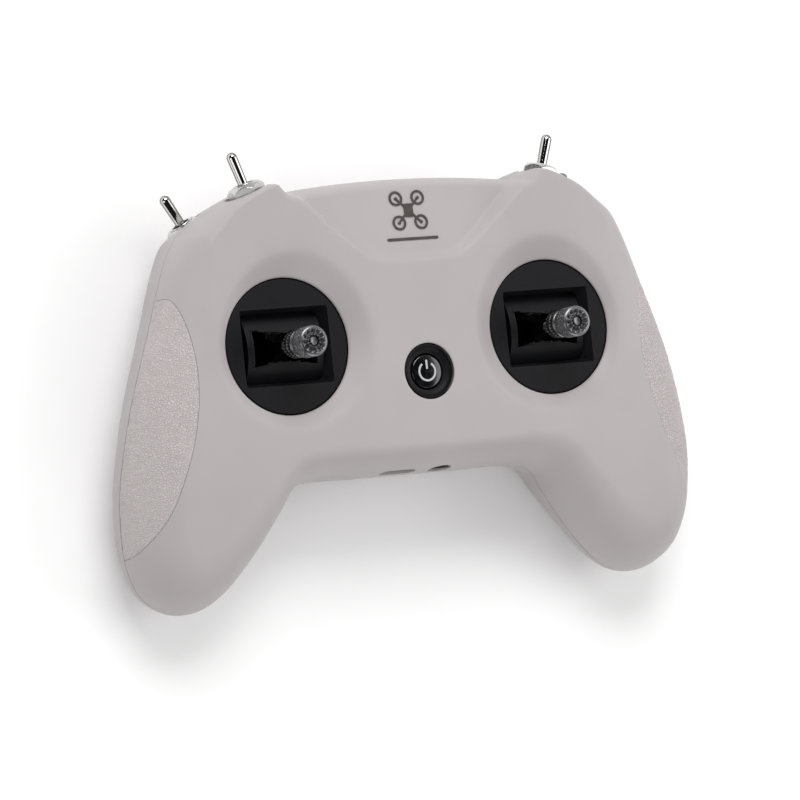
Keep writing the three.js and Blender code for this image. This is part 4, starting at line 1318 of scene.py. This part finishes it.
def usb_receptacle():
    """Oval metal shell with a contact tongue, soldered to the board by its foot."""
    body = prism("usb_receptacle", rounded_rectangle(4.5, 1.6, 1.55, 10), 25, 32.4, STEEL)
    cut(body, prism("room", rounded_rectangle(4.2, 1.3, 1.28, 10), 26.5, 33, STEEL))
    bevel(body, 0.08, 2, 50)
    foot = block("foot", (-3, BOARD_TOP + 0.1 - PORT_Z, 26), (3, -1.4, 29.6), STEEL)
    tongue = bevel(block("tongue", (-3.3, -0.35, 26), (3.3, 0.35, 31.8), BLACK), 0.1, 2)
    parts = [merge([body, foot]), tongue]
    for k in range(12):
        x = (k - 5.5) * 0.5
        for sign in (1, -1):
            low, high = sorted((sign * 0.3, sign * 0.4))
            parts.append(block("pad", (x - 0.13, low, 27), (x + 0.13, high, 31.3), NICKEL))
    piece = place(join("usb_receptacle", parts), out_of_bottom(USB_X))
    finish_piece(piece, HOUSING, "steel", "usb_port")


def jack_socket():
    """Round socket in a square body, with a contact ring inside."""
    bore, barrel, mouth = 1.75, 2.6, 32.6
    rows = [(bore, 19), (barrel, 19), (barrel, 32.3), (barrel - 0.3, mouth), (bore + 0.35, mouth)]
    tube = lathe("jack_socket", rows + [(bore, 32.25)], BLACK, 72)
    body = block("body", (-3, BOARD_TOP + 0.1 - PORT_Z, 17), (3, 2.7, 28.7), BLACK)
    cut(body, rod(bore + 0.4, 18, 30, BLACK))
    bevel(body, 0.2, 2)
    lip = bore + 0.1
    ring = lathe("ring", [(bore - 0.15, 26), (lip, 26), (lip, 31), (bore - 0.15, 31)], NICKEL, 48)
    piece = place(join("jack_socket", [tube, body, ring]), out_of_bottom(JACK_X))
    finish_piece(piece, HOUSING, "black_plastic", "trainer_jack")


def case_screws():
    """Six pan-head screws with a cross recess, their heads up inside the sleeves."""
    for k, (x, y) in enumerate(ALL_SCREWS):
        rows = [(0, 5.25), (1.3, 5.22), (2.1, 5.35), (2.4, 5.7), (2.4, 6.3), (2.1, 6.6), (1.3, 6.6)]
        rows += [(r, 6.6 + z) for r, z in thread_rows(1.3, 0.2, 9.6, 0.6)] + [(0.9, 16.4), (0, 17)]
        screw = lathe(f"shell_screw_{k + 1}", rows, STEEL, 48)
        for angle in (0, pi / 2):
            low = [(px, py, 4.5) for px, py in rounded_rectangle(1.45, 0.26, 0.2, 3)]
            high = [(px, py, 6.1) for px, py in rounded_rectangle(0.7, 0.16, 0.12, 3)]
            cut(screw, place(loft("recess", low, high, STEEL), turned(angle + 0.3 * k, "Z")))
        finish_piece(moved(screw, x, y), HOUSING, "steel", f"case_screw_{k + 1}")


def bind_button():
    """Domed button in the back, on its flange and stem."""
    rows = [(0, 0.28), (1.1, 0.24), (1.6, 0.3), (1.85, 0.55), (1.9, 0.9), (1.9, 3.4), (3, 3.4), (3, 4.4)]
    rows += [(1.2, 4.4), (1.2, 13.6), (0, 13.6)]
    button = moved(lathe("bind_cap", rows, BLACK, 64), *BIND)
    finish_piece(button, "bind_button", "black_plastic", "bind_button")


def dress_cad_nodes():
    """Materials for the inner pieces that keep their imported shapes."""
    looks = {
        "main_board": BOARD, "antenna": BOARD, "radio_shield_can": STEEL, "power_switch": STEEL,
        "buzzer": BLACK, "battery_pack": FILM,
    }
    for side in ("left", "right"):
        looks[side + "_gimbal_frame"] = BLACK
        looks[side + "_gimbal_yoke"] = BLACK
        looks[side + "_pitch_sensor"] = GREY
        looks[side + "_roll_sensor"] = GREY
    for name, material in looks.items():
        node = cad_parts[name]
        node.data.materials.clear()
        node.data.materials.append(material)


# -------------------------------- stage, lights and camera
EYE = Vector((-0.70759, -0.08155, 1.29694))
RIGHTWARDS = Vector((0.8726, -0.1066, 0.4766))
FORWARDS = Vector((0.4832, 0.0457, -0.8743))
LENS = 263.8
LIGHTS_AIM = Vector((0, 0, 0.02))
WORLD_LIGHT = 0.48
PATCH_EDGE = (0.36, 0.52)


def build_stage():
    size = 2.2
    corners = [(x * size, y * size, -0.0002) for x, y in ((-1, -1), (1, -1), (1, 1), (-1, 1))]
    mesh = bpy.data.meshes.new("floor")
    mesh.from_pydata(corners, [], [(0, 1, 2, 3)])
    n = new_look("pale_floor")
    color = n.mix(n.clouds(0.02), srgb(252, 252, 252), srgb(255, 255, 255))
    mesh.materials.append(n.surface(color, 0.7, specular=0.2))
    put("floor", mesh)


def area_light(name, at, size, power):
    light = bpy.data.lights.new(name, "AREA")
    light.shape = "RECTANGLE"
    light.size, light.size_y = size
    light.energy = power
    lamp = put(name, light)
    lamp.location = at
    lamp.rotation_euler = (LIGHTS_AIM - Vector(at)).to_track_quat("-Z", "Y").to_euler()


def studio_world():
    """Even pale surroundings. Reflections also show a dark patch round the camera."""
    world = bpy.data.worlds.new("studio")
    n = Nodes(world)
    facing = n.agreement(n.read("ShaderNodeTexCoord", "Generated"), EYE.normalized())
    patch = n.span(facing, *PATCH_EDGE, WORLD_LIGHT, 0.01)
    glossy = n.read("ShaderNodeLightPath", "Is Glossy Ray")
    strength = n.math("MULTIPLY_ADD", glossy, n.math("SUBTRACT", patch, WORLD_LIGHT), WORLD_LIGHT)
    background = n.tree.nodes["Background"]
    background.inputs["Color"].default_value = (1.0, 0.995, 0.99, 1)
    n.link(strength, background.inputs["Strength"])
    bpy.context.scene.world = world


def build_lights():
    area_light("key", (-0.2, 0.9, 0.95), (0.9, 0.6), 10.8)
    area_light("fill", (1.0, 0.0, 0.7), (0.8, 0.9), 4.2)
    area_light("front", (-1.1, -0.35, 0.75), (0.7, 0.9), 2.4)
    area_light("low", (0.15, -1.1, 0.55), (0.9, 0.6), 2.6)
    studio_world()
    bpy.context.scene.view_settings.view_transform = "Standard"


def build_camera():
    camera = bpy.data.cameras.new("camera")
    camera.lens = LENS
    camera.sensor_width = 36
    camera.clip_start = 0.05
    up = RIGHTWARDS.cross(FORWARDS).normalized()
    right = FORWARDS.cross(up).normalized()
    view = Matrix((right, up, -FORWARDS.normalized())).transposed().to_4x4()
    view.translation = EYE
    eye = put("camera", camera)
    eye.matrix_world = view
    bpy.context.scene.camera = eye


# -------------------------------- build
build_housing()
emblem()
for side, x in (("left", -STICK_X), ("right", STICK_X)):
    gimbal_plate(side, x)
    gimbal_drum(side, x)
    stick(side, x)
    stick_end(side, x)
for toggle in TOGGLES:
    toggle_switch(toggle)
    hex_nut(toggle)
    toggle_lever(toggle)
power_rim()
power_cap()
power_symbol()
usb_receptacle()
jack_socket()
case_screws()
bind_button()
dress_cad_nodes()
build_stage()
build_lights()
build_camera()
